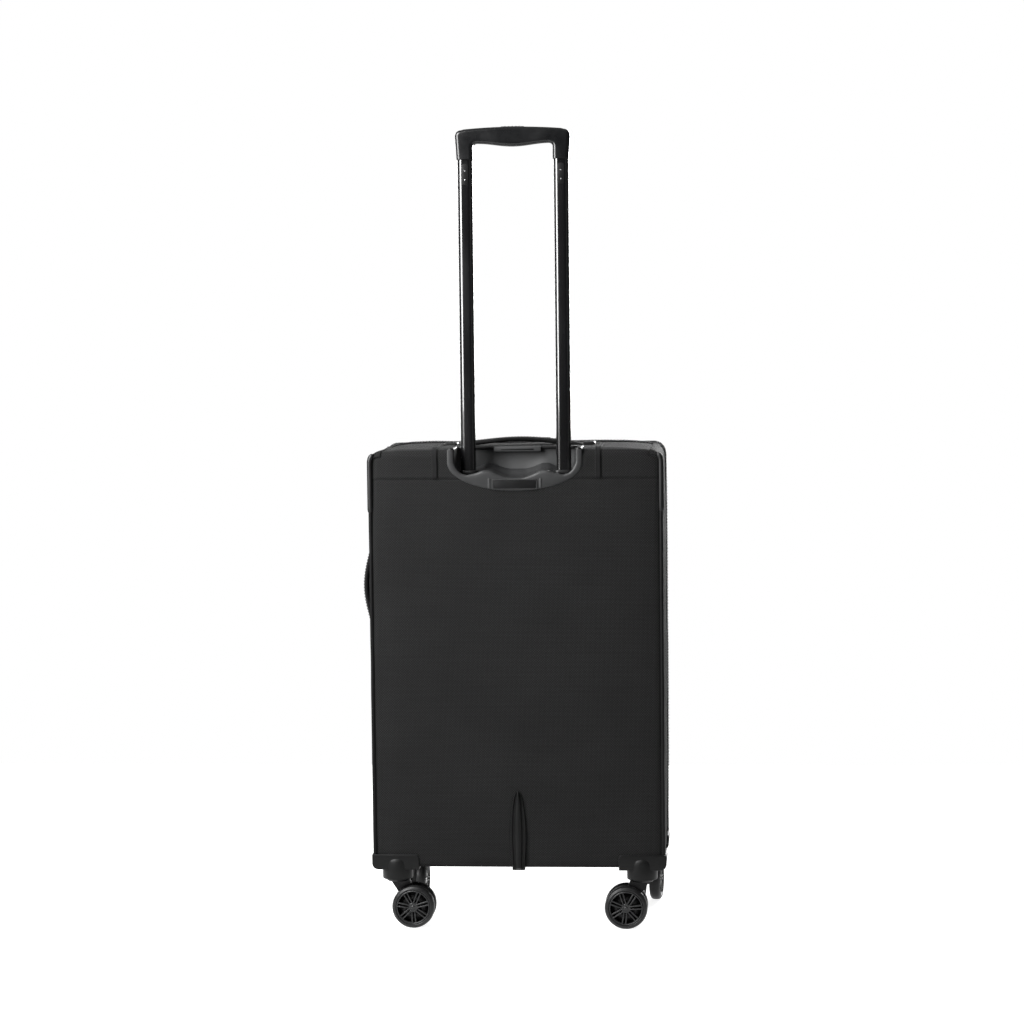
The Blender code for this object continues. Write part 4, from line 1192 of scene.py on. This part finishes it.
BELL_R, BELL_FOOT, BELL_DOME = 0.0213, 0.0690, 0.1005
SKIRT_R = 0.0201             # inside of the bell's skirt, outside the turntable
BELL_SHIFT = 0.0027          # the bell stands out past the corner's plate
FOOT_ROUND = 0.0090


def corner_outline(u_in, u_out, low_z, high_z, foot_round):
    """Plate drawn from its inner edge to its outer edge, rounded at the inner top and outer foot."""
    way = 1 if u_out > u_in else -1
    top_round, tip_round = 0.0050, 0.002
    points = [(u_in, low_z)]
    points += [(u_in + way * (top_round - top_round * cos(a)), high_z - top_round + top_round * sin(a))
               for a in spaced(0, pi / 2, 0.2)]
    points += [(u_out - way * (tip_round - tip_round * sin(a)), high_z - tip_round + tip_round * cos(a))
               for a in spaced(0, pi / 2, 0.4)]
    points += [(u_out - way * (foot_round - foot_round * cos(a)), low_z + foot_round - foot_round * sin(a))
               for a in spaced(0, pi / 2, 0.15)]
    return points


def housing(corner):
    """Corner moulding: rounded plates on two faces, a foot under the case and the domed bell."""
    node = "caster_housing_" + corner
    rear = corner.startswith("rear")
    side = -1 if corner.endswith("left") else 1
    lo, hi = node_box(node)
    x, y = JOINTS["swivel_" + corner]["pos_m"][:2]
    plate_low = BOTTOM - 0.0035
    outer, inner = (hi.x, lo.x) if side > 0 else (lo.x, hi.x)
    thick = abs(outer - MID) - (HALF + 0.0003)
    skin = outer - side * thick            # inner face of the plate on the case's side
    parts = []
    if rear:
        outline = corner_outline(inner, outer, plate_low, hi.z, FOOT_ROUND)
        parts.append(plate("rear", outline, "XZ", lo.y, BACK - 0.0003, TRIM, 0.0013, 4))
    deep_in, deep_out = (hi.y, lo.y + 0.0006) if rear else (lo.y, hi.y)
    outline = corner_outline(deep_in, deep_out, plate_low + FOOT_ROUND, hi.z, 0.0012)
    parts.append(plate("flank", outline, "YZ", *sorted((outer, skin)), TRIM, 0.0009, 4))
    turn_start = outer - side * FOOT_ROUND
    foot = [(inner, BOTTOM - 0.0004), (inner, plate_low), (turn_start, plate_low)]
    foot += [(outer - side * FOOT_ROUND * (1 - sin(a)), plate_low + FOOT_ROUND * (1 - cos(a)))
             for a in spaced(0, pi / 2, 0.15)[1:]]
    foot += [(skin, plate_low + FOOT_ROUND), (turn_start, BOTTOM - 0.0004)]
    parts.append(plate("foot", foot, "XZ", lo.y + 0.0008, hi.y - 0.0008, TRIM, 0.0008))
    crown = ((0.0001, 0), (0.0130, 0.0003), (0.0168, 0.0014), (0.0190, 0.0036), (0.0202, 0.0066),
             (0.0208, 0.0110), (BELL_R, 0.0180))
    dome = [(r, BELL_DOME - drop) for r, drop in crown]
    dome += [(BELL_R, BELL_FOOT + 0.0012), (BELL_R - 0.0006, BELL_FOOT), (SKIRT_R, BELL_FOOT),
             (SKIRT_R, BELL_FOOT + 0.0032), (0.0001, BELL_FOOT + 0.0032)]
    bell = lathe("bell", dome, TRIM, 56, "Z")
    bell.matrix_world = Matrix.Translation((x, y - BELL_SHIFT if rear else y, 0))
    settle(joined("corner_moulding_" + corner, parts + [bell]), "case", "trim_plastic", node)
    x = outer - side * 0.0003
    for letter, y in (("a", lo.y + 0.012), ("b", hi.y - 0.010)):
        screw_head(f"housing_screw_{corner}_{letter}", (x, y, 0.097), (side, 0, 0), "case")


def casters():
    hub, tyre = wheel_parts()
    middle = (low("wheel_tyre_rear_left_b").y + high("wheel_tyre_rear_left_b").y) / 2
    offset = Matrix.Translation((0, abs(middle - JOINTS["roll_rear_left_b"]["pos_m"][1]), 0))
    for name, joint in JOINTS.items():
        if not name.startswith("roll_"):
            continue
        corner, letter = name[5:-2], name[-1]
        axis = Vector(joint["axis"])
        heading = atan2(-axis.x, axis.y) + (pi if letter == "a" else 0)
        phase = Matrix.Rotation(radians(WHEEL_PHASE[corner]), 4, "Y")
        for kind, source, slot in (("hub", hub, "hub_plastic"), ("tyre", tyre, "tyre")):
            made = bpy.data.objects.new(f"{kind}_{corner}_{letter}", source.data)
            scene.collection.objects.link(made)
            made.matrix_world = (Matrix.Translation(joint["pos_m"]) @ Matrix.Rotation(heading, 4, "Z")
                                 @ offset @ phase)
            settle(made, f"wheel_{corner}_{letter}", slot, f"wheel_{kind}_{corner}_{letter}")
    bpy.data.objects.remove(hub)
    bpy.data.objects.remove(tyre)
    for corner in WHEEL_PHASE:
        housing(corner)
        dress("caster_fork_" + corner, DARK_TRIM, 0.0006, 2, 45)


casters()


# ---- zips ----------------------------------------------------------------
def outline_loop(inset=0.0, step=0.005):
    """Points round the case seen from the back, from the right foot upward, as (x, z, nx, nz)."""
    c = CORNER
    points = []
    corners = ((HALF - c, BOTTOM + c, -90), (HALF - c, TOP - c, 0), (c - HALF, TOP - c, 90),
               (c - HALF, BOTTOM + c, 180))
    for k, (x, z, start) in enumerate(corners):
        for i in range(9):
            a = radians(start + 90 * i / 8)
            points.append((x + (c - inset) * cos(a), z + (c - inset) * sin(a), cos(a), sin(a)))
        nx, nz = points[-1][2:]
        following = corners[(k + 1) % 4]
        x1, z1, _, _ = points[-1]
        x2, z2 = following[0] + (c - inset) * nx, following[1] + (c - inset) * nz
        count = max(2, round(hypot(x2 - x1, z2 - z1) / step))
        points += [(x1 + (x2 - x1) * i / count, z1 + (z2 - z1) * i / count, nx, nz) for i in range(1, count)]
    return points


def hoop(y, inset=0.0, lift=None):
    """The loop at a depth, as (point, outward) pairs; lift gives its distance out for x, z."""
    line = []
    for x, z, nx, nz in outline_loop(inset):
        out = lift(x, z, nx, nz) if lift else 0.0
        line.append((Vector((MID + x + nx * out, y, z + nz * out)), Vector((nx, 0, nz))))
    return line


HINGE_MARGIN = 0.045         # how far the hinge ends from the top and the bottom of the case


def zipped_part(line):
    """The loop without the hinge on the right side, from its upper end round to its lower end."""
    start = next(i for i, (p, n) in enumerate(line) if n.x > 0.99 and p.z > TOP - HINGE_MARGIN)
    turned_line = line[start:] + line[:start]
    end = next(i for i, (p, n) in enumerate(turned_line)
               if i > 50 and n.x > 0.99 and p.z > BOTTOM + HINGE_MARGIN)
    return turned_line[:end]


def along_line(line, step):
    """The same line with points a fixed distance apart."""
    points = [p for p, _ in line]
    run = np.concatenate([[0], np.cumsum([(b - a).length for a, b in zip(points, points[1:])])])
    made = []
    for distance in np.arange(0, run[-1], step):
        i = min(int(np.searchsorted(run, distance, side="right")) - 1, len(run) - 2)
        t = (distance - run[i]) / max(run[i + 1] - run[i], 1e-9)
        made.append((points[i].lerp(points[i + 1], t), line[i][1].lerp(line[i + 1][1], t).normalized()))
    return made


COIL_PITCH, COIL_TURN_POINTS, COIL_WIRE = 0.0021, 7, 0.00042


def coil(name, line, across, offset, lift, phase, half_width=0.0013, height=0.0009):
    """A nylon zip coil along a line; across is the direction over the zip."""
    rows = []
    path = along_line(line, COIL_PITCH / COIL_TURN_POINTS)
    for i, (point, outward) in enumerate(path):
        a = 2 * pi * i / COIL_TURN_POINTS + phase
        over = Vector(across)
        radial = over * (half_width * cos(a)) + outward * (height * sin(a))
        rows.append((point + over * offset + outward * lift + radial, radial.normalized()))
    return sweep(name, rows, ring(COIL_WIRE, COIL_WIRE, 4), COIL)


def straight_zip(tape_name, coil_name, line, across, body, lift=0.0012, half_width=0.0015):
    """A tape with a nylon coil along its middle."""
    settle(sweep(tape_name, line, ribbon(0.0150, 0.0009), TAPE), body, "zip_tape")
    settle(coil(coil_name, line, across, 0.0, lift, 0.0, half_width, 0.0008), body, "zip_tape")


def main_zip():
    for half, body, sign, phase in (("tray", "case", 1, 0), ("lid", "lid", -1, pi)):
        y0, y1 = low("main_zip_" + half).y, high("main_zip_" + half).y
        outer, inner = (y0, y1) if sign > 0 else (y1, y0)
        line = zipped_part(hoop((y0 + y1) / 2))
        tape = sweep(f"zip_tape_{half}", line, ribbon(y1 - y0 + 0.0006, 0.0010, -0.0006), TAPE)
        settle(tape, body, "zip_tape", "main_zip_" + half)
        line = zipped_part(hoop(inner))
        settle(coil(f"zip_coil_{half}", line, FORWARD, -sign * 0.0004, 0.0010, phase), body, "zip_tape")
        line = zipped_part(hoop(outer + sign * 0.0006))
        sew(f"zip_stitch_{half}", line, body, 0.0026, 0.0012, 0.00028, 0.0006)


def hinge_fabric():
    """The cloth hinge down the right side."""
    y0, y1 = TRAY - 0.0040, low("lid_gusset").y + 0.0040
    rows = []
    for z in spaced(BOTTOM + 0.040, TOP - 0.040, 0.006):
        row = []
        for y in spaced(y0, y1, 0.0008):
            deep = (y - y0) / (y1 - y0)
            out = 0.0006 + 0.0009 * sin(pi * deep) + 0.0002 * wave(z, y, 1.0, 0.012)
            row.append(Vector((MID + HALF + out, y, z)))
        rows.append(row)
    made = grid("hinge_fabric", rows, BINDING)
    outward_faces(made, Vector((0, 0, 0.38)))
    modify(made, "SOLIDIFY", thickness=0.0009, offset=-1.0)
    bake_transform(made)


def expander_zip():
    """The second zip round the case, which lets the tray grow; it is shut here."""
    y = TRAY - 0.0185

    def lift(x, z, nx, nz):
        if abs(nx) > 0.7:
            return max(puff_side(1 if nx > 0 else -1, z, y, abs(nz)), 0) + 0.0002
        return (puff_back(x, RUN_TOP + y - BACK - FOLD_R) if nz > 0 else 0.0010) + 0.0002
    line = hoop(y, 0.0, lift)
    tape = sweep("expander_tape", line, ribbon(0.0200, 0.0011, -0.0002), TAPE, True)
    settle(tape, "case", "zip_tape")
    settle(coil("expander_coil", line, (0, 1, 0), 0.0, 0.0016, 0.0), "case", "zip_tape")
    seam_pair("expander_stitch_", "ab", line, (0, 0.0082, 0), (0, 0, 0), "case",
              0.0030, 0.0014, 0.0003, 0.0011)


def sliders():
    for side, sign in SIDES:
        dress("zip_slider_" + side, GUNMETAL, 0.0004, 2, 30)
        dress("zip_puller_" + side, GUNMETAL, 0.0005, 3, 30)
        lo, hi = node_box("zip_puller_" + side)
        tip = hi.x if sign > 0 else lo.x
        root = tip - sign * 0.020
        y, z = (lo.y + hi.y) / 2, (lo.z + hi.z) / 2
        outline = rounded(min(tip, root), max(tip, root), y - 0.0042, y + 0.0042, 0.0030)
        parts = [plate("tab", outline, "XY", z - 0.0014, z + 0.0014, DARK_TRIM, 0.0007)]
        for k in range(4):
            x = tip - sign * (0.0045 + 0.0028 * k)
            parts.append(box("rib", (x - 0.0006, x + 0.0006), (y - 0.0030, y + 0.0030),
                             (z - 0.0018, z + 0.0018), DARK_TRIM, 0.0004, 2))
        settle(joined("puller_tab_" + side, parts), "puller_" + side, "trim_plastic")


main_zip()
hinge_fabric()
expander_zip()
sliders()


# ---- the lid -------------------------------------------------------------
SIM_FRAMES = 20


def simulate_pad(thing, pressure, cap, hold_y):
    """Swell a closed mesh with Cloth; points behind hold_y stay where they are sewn down."""
    group = thing.vertex_groups.new(name="sewn")
    group.add([v.index for v in thing.data.vertices if v.co.y < hold_y], 1.0, "REPLACE")
    cloth = thing.modifiers.new("cloth", "CLOTH")
    settings = cloth.settings
    settings.quality, settings.mass = 5, 0.3
    settings.tension_stiffness = settings.compression_stiffness = 12
    settings.shear_stiffness, settings.bending_stiffness = 6, 0.6
    settings.use_pressure, settings.uniform_pressure_force = True, pressure
    settings.vertex_group_mass = "sewn"
    settings.effector_weights.gravity = 0
    cloth.point_cache.frame_start, cloth.point_cache.frame_end = 1, SIM_FRAMES
    count = len(thing.data.vertices)
    before = np.zeros(count * 3)
    thing.data.vertices.foreach_get("co", before)
    for number in range(1, SIM_FRAMES + 1):
        scene.frame_set(number)
    graph = bpy.context.evaluated_depsgraph_get()
    after = np.zeros(count * 3)
    thing.evaluated_get(graph).data.vertices.foreach_get("co", after)
    thing.modifiers.remove(cloth)
    moved = (after - before).reshape(-1, 3)
    length = np.linalg.norm(moved, axis=1, keepdims=True)
    moved *= np.minimum(1, cap / np.maximum(length, 1e-9))
    thing.data.vertices.foreach_set("co", before + moved.ravel())
    thing.data.update()
    scene.frame_set(1)


POCKET_VOXEL, POCKET_SHRINK, POCKET_CAP = 0.0055, 0.0045, 0.008
ZIP_DROP = 0.020             # a pocket's zip below its upper edge


def pocket(which):
    node = "pocket_" + which
    lo, hi = node_box(node)
    zip_z = hi.z - ZIP_DROP
    thing = bpy.data.objects.new(f"pocket_pad_{which}", frame["nodes"][node].data.copy())
    scene.collection.objects.link(thing)
    shape = bmesh.new()
    shape.from_mesh(thing.data)
    for vert in shape.verts:
        if vert.co.y > lo.y + 0.003:
            vert.co.y -= POCKET_SHRINK
        vert.co.x += 0.002 if vert.co.x < MID else -0.002
        vert.co.z += 0.002 if vert.co.z < (lo.z + hi.z) / 2 else -0.002
    shape.to_mesh(thing.data)
    shape.free()
    modify(thing, "REMESH", mode="VOXEL", voxel_size=POCKET_VOXEL)
    thing = joined(f"pocket_pad_{which}", [thing])
    simulate_pad(thing, 4.0, POCKET_CAP, lo.y + 0.0035)
    face = low("pocket_slider_" + which).y
    for vert in thing.data.vertices:
        x, y, z = vert.co
        if y > lo.y + 0.004:
            y += 0.0006 * wave(x, z, 2.0, 0.03) + 0.0010 * wave(x, z, 6.0, 0.09)
            near = smooth_step(0.016, 0.007, abs(z - zip_z))
            y = y * (1 - near) + min(y, face - 0.0012) * near
            y -= 0.0012 * np.exp(-(abs(z - zip_z) - 0.0085) ** 2 / 0.0015 ** 2)
        vert.co.y = y
    thing.data.materials.clear()
    thing.data.materials.append(SHELL)
    thing.data.shade_smooth()
    modify(thing, "SUBSURF", levels=1, render_levels=1)
    settle(thing, "lid", "shell_fabric", node)
    # piping round the pocket's foot, the zip, its stitches and end tabs
    loop = [(Vector((u, lo.y + 0.0012, v)), FORWARD)
            for u, v in rounded(lo.x + 0.001, hi.x - 0.001, lo.z + 0.001, hi.z - 0.001, 0.016, 8)]
    dense = along_line(loop + loop[:1], 0.006)
    settle(sweep(f"pocket_piping_{which}", dense, ring(0.0019, 0.0019, 8), PIPING, True), "lid", "piping")
    ends = (lo.x + 0.012, hi.x - 0.012)
    line = [(Vector((x, face - 0.0014, zip_z)), FORWARD) for x in spaced(*ends, 0.006)]
    straight_zip(f"pocket_tape_{which}", f"pocket_coil_{which}", line, UP, "lid", 0.0013, 0.0016)
    seam_pair(f"pocket_stitch_{which}_", "ab", line, (0, 0, 0.0056), (0, 0.0009, 0), "lid",
              0.0030, 0.0013, 0.0003)
    for k, x in enumerate(ends):
        tab = plate(f"pocket_zip_end_{which}_{'ab'[k]}",
                    rounded(x - 0.0045, x + 0.0045, zip_z - 0.0085, zip_z + 0.0085, 0.0015), "XZ",
                    face - 0.0012, face + 0.0006, BINDING, 0.0005)
        settle(tab, "lid", "shell_fabric")
    dress("pocket_slider_" + which, GUNMETAL, 0.0004, 2, 30)
    end = high("pocket_slider_" + which)
    tab = plate("tab", rounded(end.x - 0.016, end.x + 0.004, zip_z - 0.0042, zip_z + 0.0042, 0.003), "XZ",
                end.y - 0.0022, end.y + 0.0006, DARK_TRIM, 0.0007)
    settle(joined(f"pocket_puller_tab_{which}", [tab]), "pocket_slider_" + which[0], "trim_plastic")


def lid_shell():
    y0, y1 = low("lid_gusset").y, high("lid_gusset").y
    rows = []
    for x, z, nx, nz in outline_loop(0.0, 0.006):
        row = []
        for y in spaced(y0, y1 + 0.001, 0.0026):
            deep = (y - y0) / (y1 - y0)
            out = 0.0009 * sin(pi * min(deep, 1)) + 0.0004 * wave(x + nz, z + y, 2.0, 0.05)
            row.append(Vector((MID + x + nx * out, y, z + nz * out)))
        rows.append(row)
    shell_cloth("lid_gusset_fabric", rows, (MID, 0.1, INSIDE_Z), "lid", "lid_gusset", loop=True)
    inset, columns = 0.0040, 80
    panel = high("front_panel").y - 0.0030
    rows = []
    for z in spaced(BOTTOM + inset, TOP - inset, 0.005):
        near = max(BOTTOM + CORNER - z, z - TOP + CORNER, 0.0)
        width = HALF - CORNER + sqrt(max((CORNER - inset) ** 2 - near ** 2, 0.0))
        row = []
        for j in range(columns + 1):
            x = width * (2 * j / columns - 1)
            edge = min(width - abs(x), z - BOTTOM - inset, TOP - inset - z)
            out = 0.0022 * smooth_step(0, 0.020, edge) + 0.0006 * wave(x, z, 8.0, 0.07)
            row.append(Vector((MID + x, panel + out, z)))
        rows.append(row)
    shell_cloth("front_fabric", rows, (MID, -1, INSIDE_Z), "lid", "front_panel")
    lo, hi = node_box("front_piping")
    radius = (hi.y - lo.y) / 2
    line = [(p, Vector((n.x, 1, n.z)).normalized()) for p, n in hoop((lo.y + hi.y) / 2, 0.0014)]
    settle(sweep("front_piping_cord", line, ring(radius, radius, 10), PIPING, True), "lid", "piping",
           "front_piping")


lid_shell()
pocket("upper")
pocket("lower")


# ---- inside --------------------------------------------------------------
LINING_IN = 0.0050           # lining inside the outer face of the shell
BACK_LINING_Y = -0.0665
TRAY_FLOOR = 0.1040           # the tray's floor lies over the caster housings
LID_LINING_Y = high("lid_gusset").y - 0.0015


def lining(name, rows, body, loop=False):
    """A thin cloth held taut on a wall."""
    sheet = grid(name, rows, LINING, loop)
    modify(sheet, "SOLIDIFY", thickness=0.0004, offset=0.0)
    settle(sheet, body, "shell_fabric")


def wall_lining(name, y0, y1, body, floor_z):
    rows = []
    for x, z, nx, nz in outline_loop(LINING_IN, 0.006):
        row = []
        for y in spaced(y0, y1, 0.006):
            deep = (y - y0) / (y1 - y0)
            out = -0.0012 * sin(pi * deep) * (1 + wave(x + nz, z, y, 0.06))
            foot = max(floor_z - z, 0) if nz < -0.5 else 0.0
            row.append(Vector((MID + x + nx * out, y, z + nz * out + foot)))
        rows.append(row)
    lining(name, rows, body, True)


def flat_lining(name, y, body, low_z, inward):
    half = HALF - LINING_IN
    rows = []
    for z in spaced(low_z, TOP - LINING_IN, 0.007):
        near = max(z - TOP + CORNER, BOTTOM + CORNER - z, 0.0)
        width = half
        if near:
            width = half - CORNER + LINING_IN + sqrt(max((CORNER - LINING_IN) ** 2 - near ** 2, 0.0))
        row = []
        for j in range(65):
            x = width * (2 * j / 64 - 1)
            edge = min(width - abs(x), z - low_z, TOP - LINING_IN - z)
            out = 0.0010 * wave(x, z, 1.0, 0.05) + 0.0008 * wave(x, z, 3.0, 0.12)
            out *= smooth_step(0, 0.02, edge)
            row.append(Vector((MID + x, y + inward * out, z)))
        rows.append(row)
    lining(name, rows, body)


def binding(name, y, facing, body):
    line = [(p, Vector((0, facing, 0))) for p, _ in hoop(y, 0.0032)]
    settle(sweep(name, line, ribbon(0.0056, 0.0012, -0.0007), BINDING, True), body, "shell_fabric")


def inner_zip():
    """The zip in the back lining that gives access to the handle's sleeves."""
    y = BACK_LINING_Y + 0.0009
    line = [(Vector((MID - 0.150, y, z)), FORWARD) for z in spaced(0.140, 0.600, 0.008)]
    straight_zip("lining_zip_tape", "lining_zip_coil", line, (1, 0, 0), "case")


def packing_straps():
    """Two crossed webbing straps that meet in a side-release buckle."""
    y = BACK_LINING_Y + 0.0030
    centre = Vector((MID, y + 0.004, 0.370))
    for k, (x, z) in enumerate(((-0.180, 0.560), (0.180, 0.560), (-0.180, 0.180), (0.180, 0.180))):
        start = Vector((MID + x, y, z))
        end = centre + Vector((0.022 if x > 0 else -0.022, 0, 0.006 if z > 0.37 else -0.006))
        line = []
        for i in range(25):
            t = i / 24
            sag = 0.0030 * sin(pi * t) + 0.0006 * wave(t, k, 0, 0.2)
            line.append((start.lerp(end, t) + Vector((0, sag, 0)), FORWARD))
        settle(sweep(f"packing_strap_{'abcd'[k]}", line, ribbon(0.0200, 0.0013), WEB), "case", "webbing")
        sideways = (end - start).normalized().cross(FORWARD)
        seam_pair(f"packing_stitch_{'abcd'[k]}", "01", line, sideways * 0.0085, (0, 0.0013, 0), "case",
                  0.003, 0.0014, 0.0003, slot="webbing")
    parts = [box("body", (MID - 0.024, MID + 0.008), (centre.y - 0.003, centre.y + 0.006),
                 (centre.z - 0.0145, centre.z + 0.0145), DARK_TRIM, 0.003, 4),
             box("prong", (MID + 0.004, MID + 0.028), (centre.y - 0.0022, centre.y + 0.0050),
                 (centre.z - 0.0130, centre.z + 0.0130), TRIM, 0.0022, 4)]
    parts += [box("wing", (MID - 0.012, MID + 0.006), (centre.y - 0.0015, centre.y + 0.0045),
                  (centre.z + s * 0.0155 - 0.002, centre.z + s * 0.0155 + 0.002), TRIM, 0.0012, 3)
              for s in (-1, 1)]
    settle(joined("packing_buckle", parts), "case", "trim_plastic")


def lid_pocket():
    """A flat cloth pocket on the inside of the lid, with a zip along its top."""
    y = LID_LINING_Y - 0.0020
    lo_z, hi_z, half = 0.150, 0.560, 0.165
    rows = []
    for z in spaced(lo_z, hi_z, 0.008):
        row = []
        for j in range(49):
            x = half * (2 * j / 48 - 1)
            edge = min(half - abs(x), z - lo_z)
            out = 0.0012 * wave(x, z, 5.0, 0.05) * smooth_step(0, 0.02, edge)
            out = 0.0030 * smooth_step(0, 0.05, edge) + out
            row.append(Vector((MID + x, y - out, z)))
        rows.append(row)
    sheet = grid("lid_pocket_cloth", rows, TAPE)
    modify(sheet, "SOLIDIFY", thickness=0.0005, offset=0.0)
    settle(sheet, "lid", "shell_fabric")
    loop = [(Vector((MID + u, y - 0.0004, v)), REARWARD)
            for u, v in rounded(-half, half, lo_z, hi_z, 0.010, 6)]
    dense = along_line(loop + loop[:1], 0.006)
    trim = sweep("lid_pocket_binding", dense, ribbon(0.0100, 0.0011), BINDING, True)
    settle(trim, "lid", "shell_fabric")
    line = [(Vector((MID + x, y - 0.0026, hi_z - 0.022)), REARWARD) for x in spaced(-0.15, 0.15, 0.008)]
    straight_zip("lid_pocket_tape", "lid_pocket_coil", line, UP, "lid")


wall_lining("tray_lining", BACK_LINING_Y, TRAY - 0.0006, "case", TRAY_FLOOR)
wall_lining("lid_wall_lining", low("lid_gusset").y + 0.0006, LID_LINING_Y, "lid", BOTTOM + LINING_IN)
flat_lining("back_lining", BACK_LINING_Y, "case", TRAY_FLOOR, 1)
flat_lining("lid_lining", LID_LINING_Y, "lid", BOTTOM + LINING_IN, -1)
binding("tray_binding", TRAY, 1, "case")
binding("lid_binding", low("lid_gusset").y, -1, "lid")
inner_zip()
packing_straps()
lid_pocket()
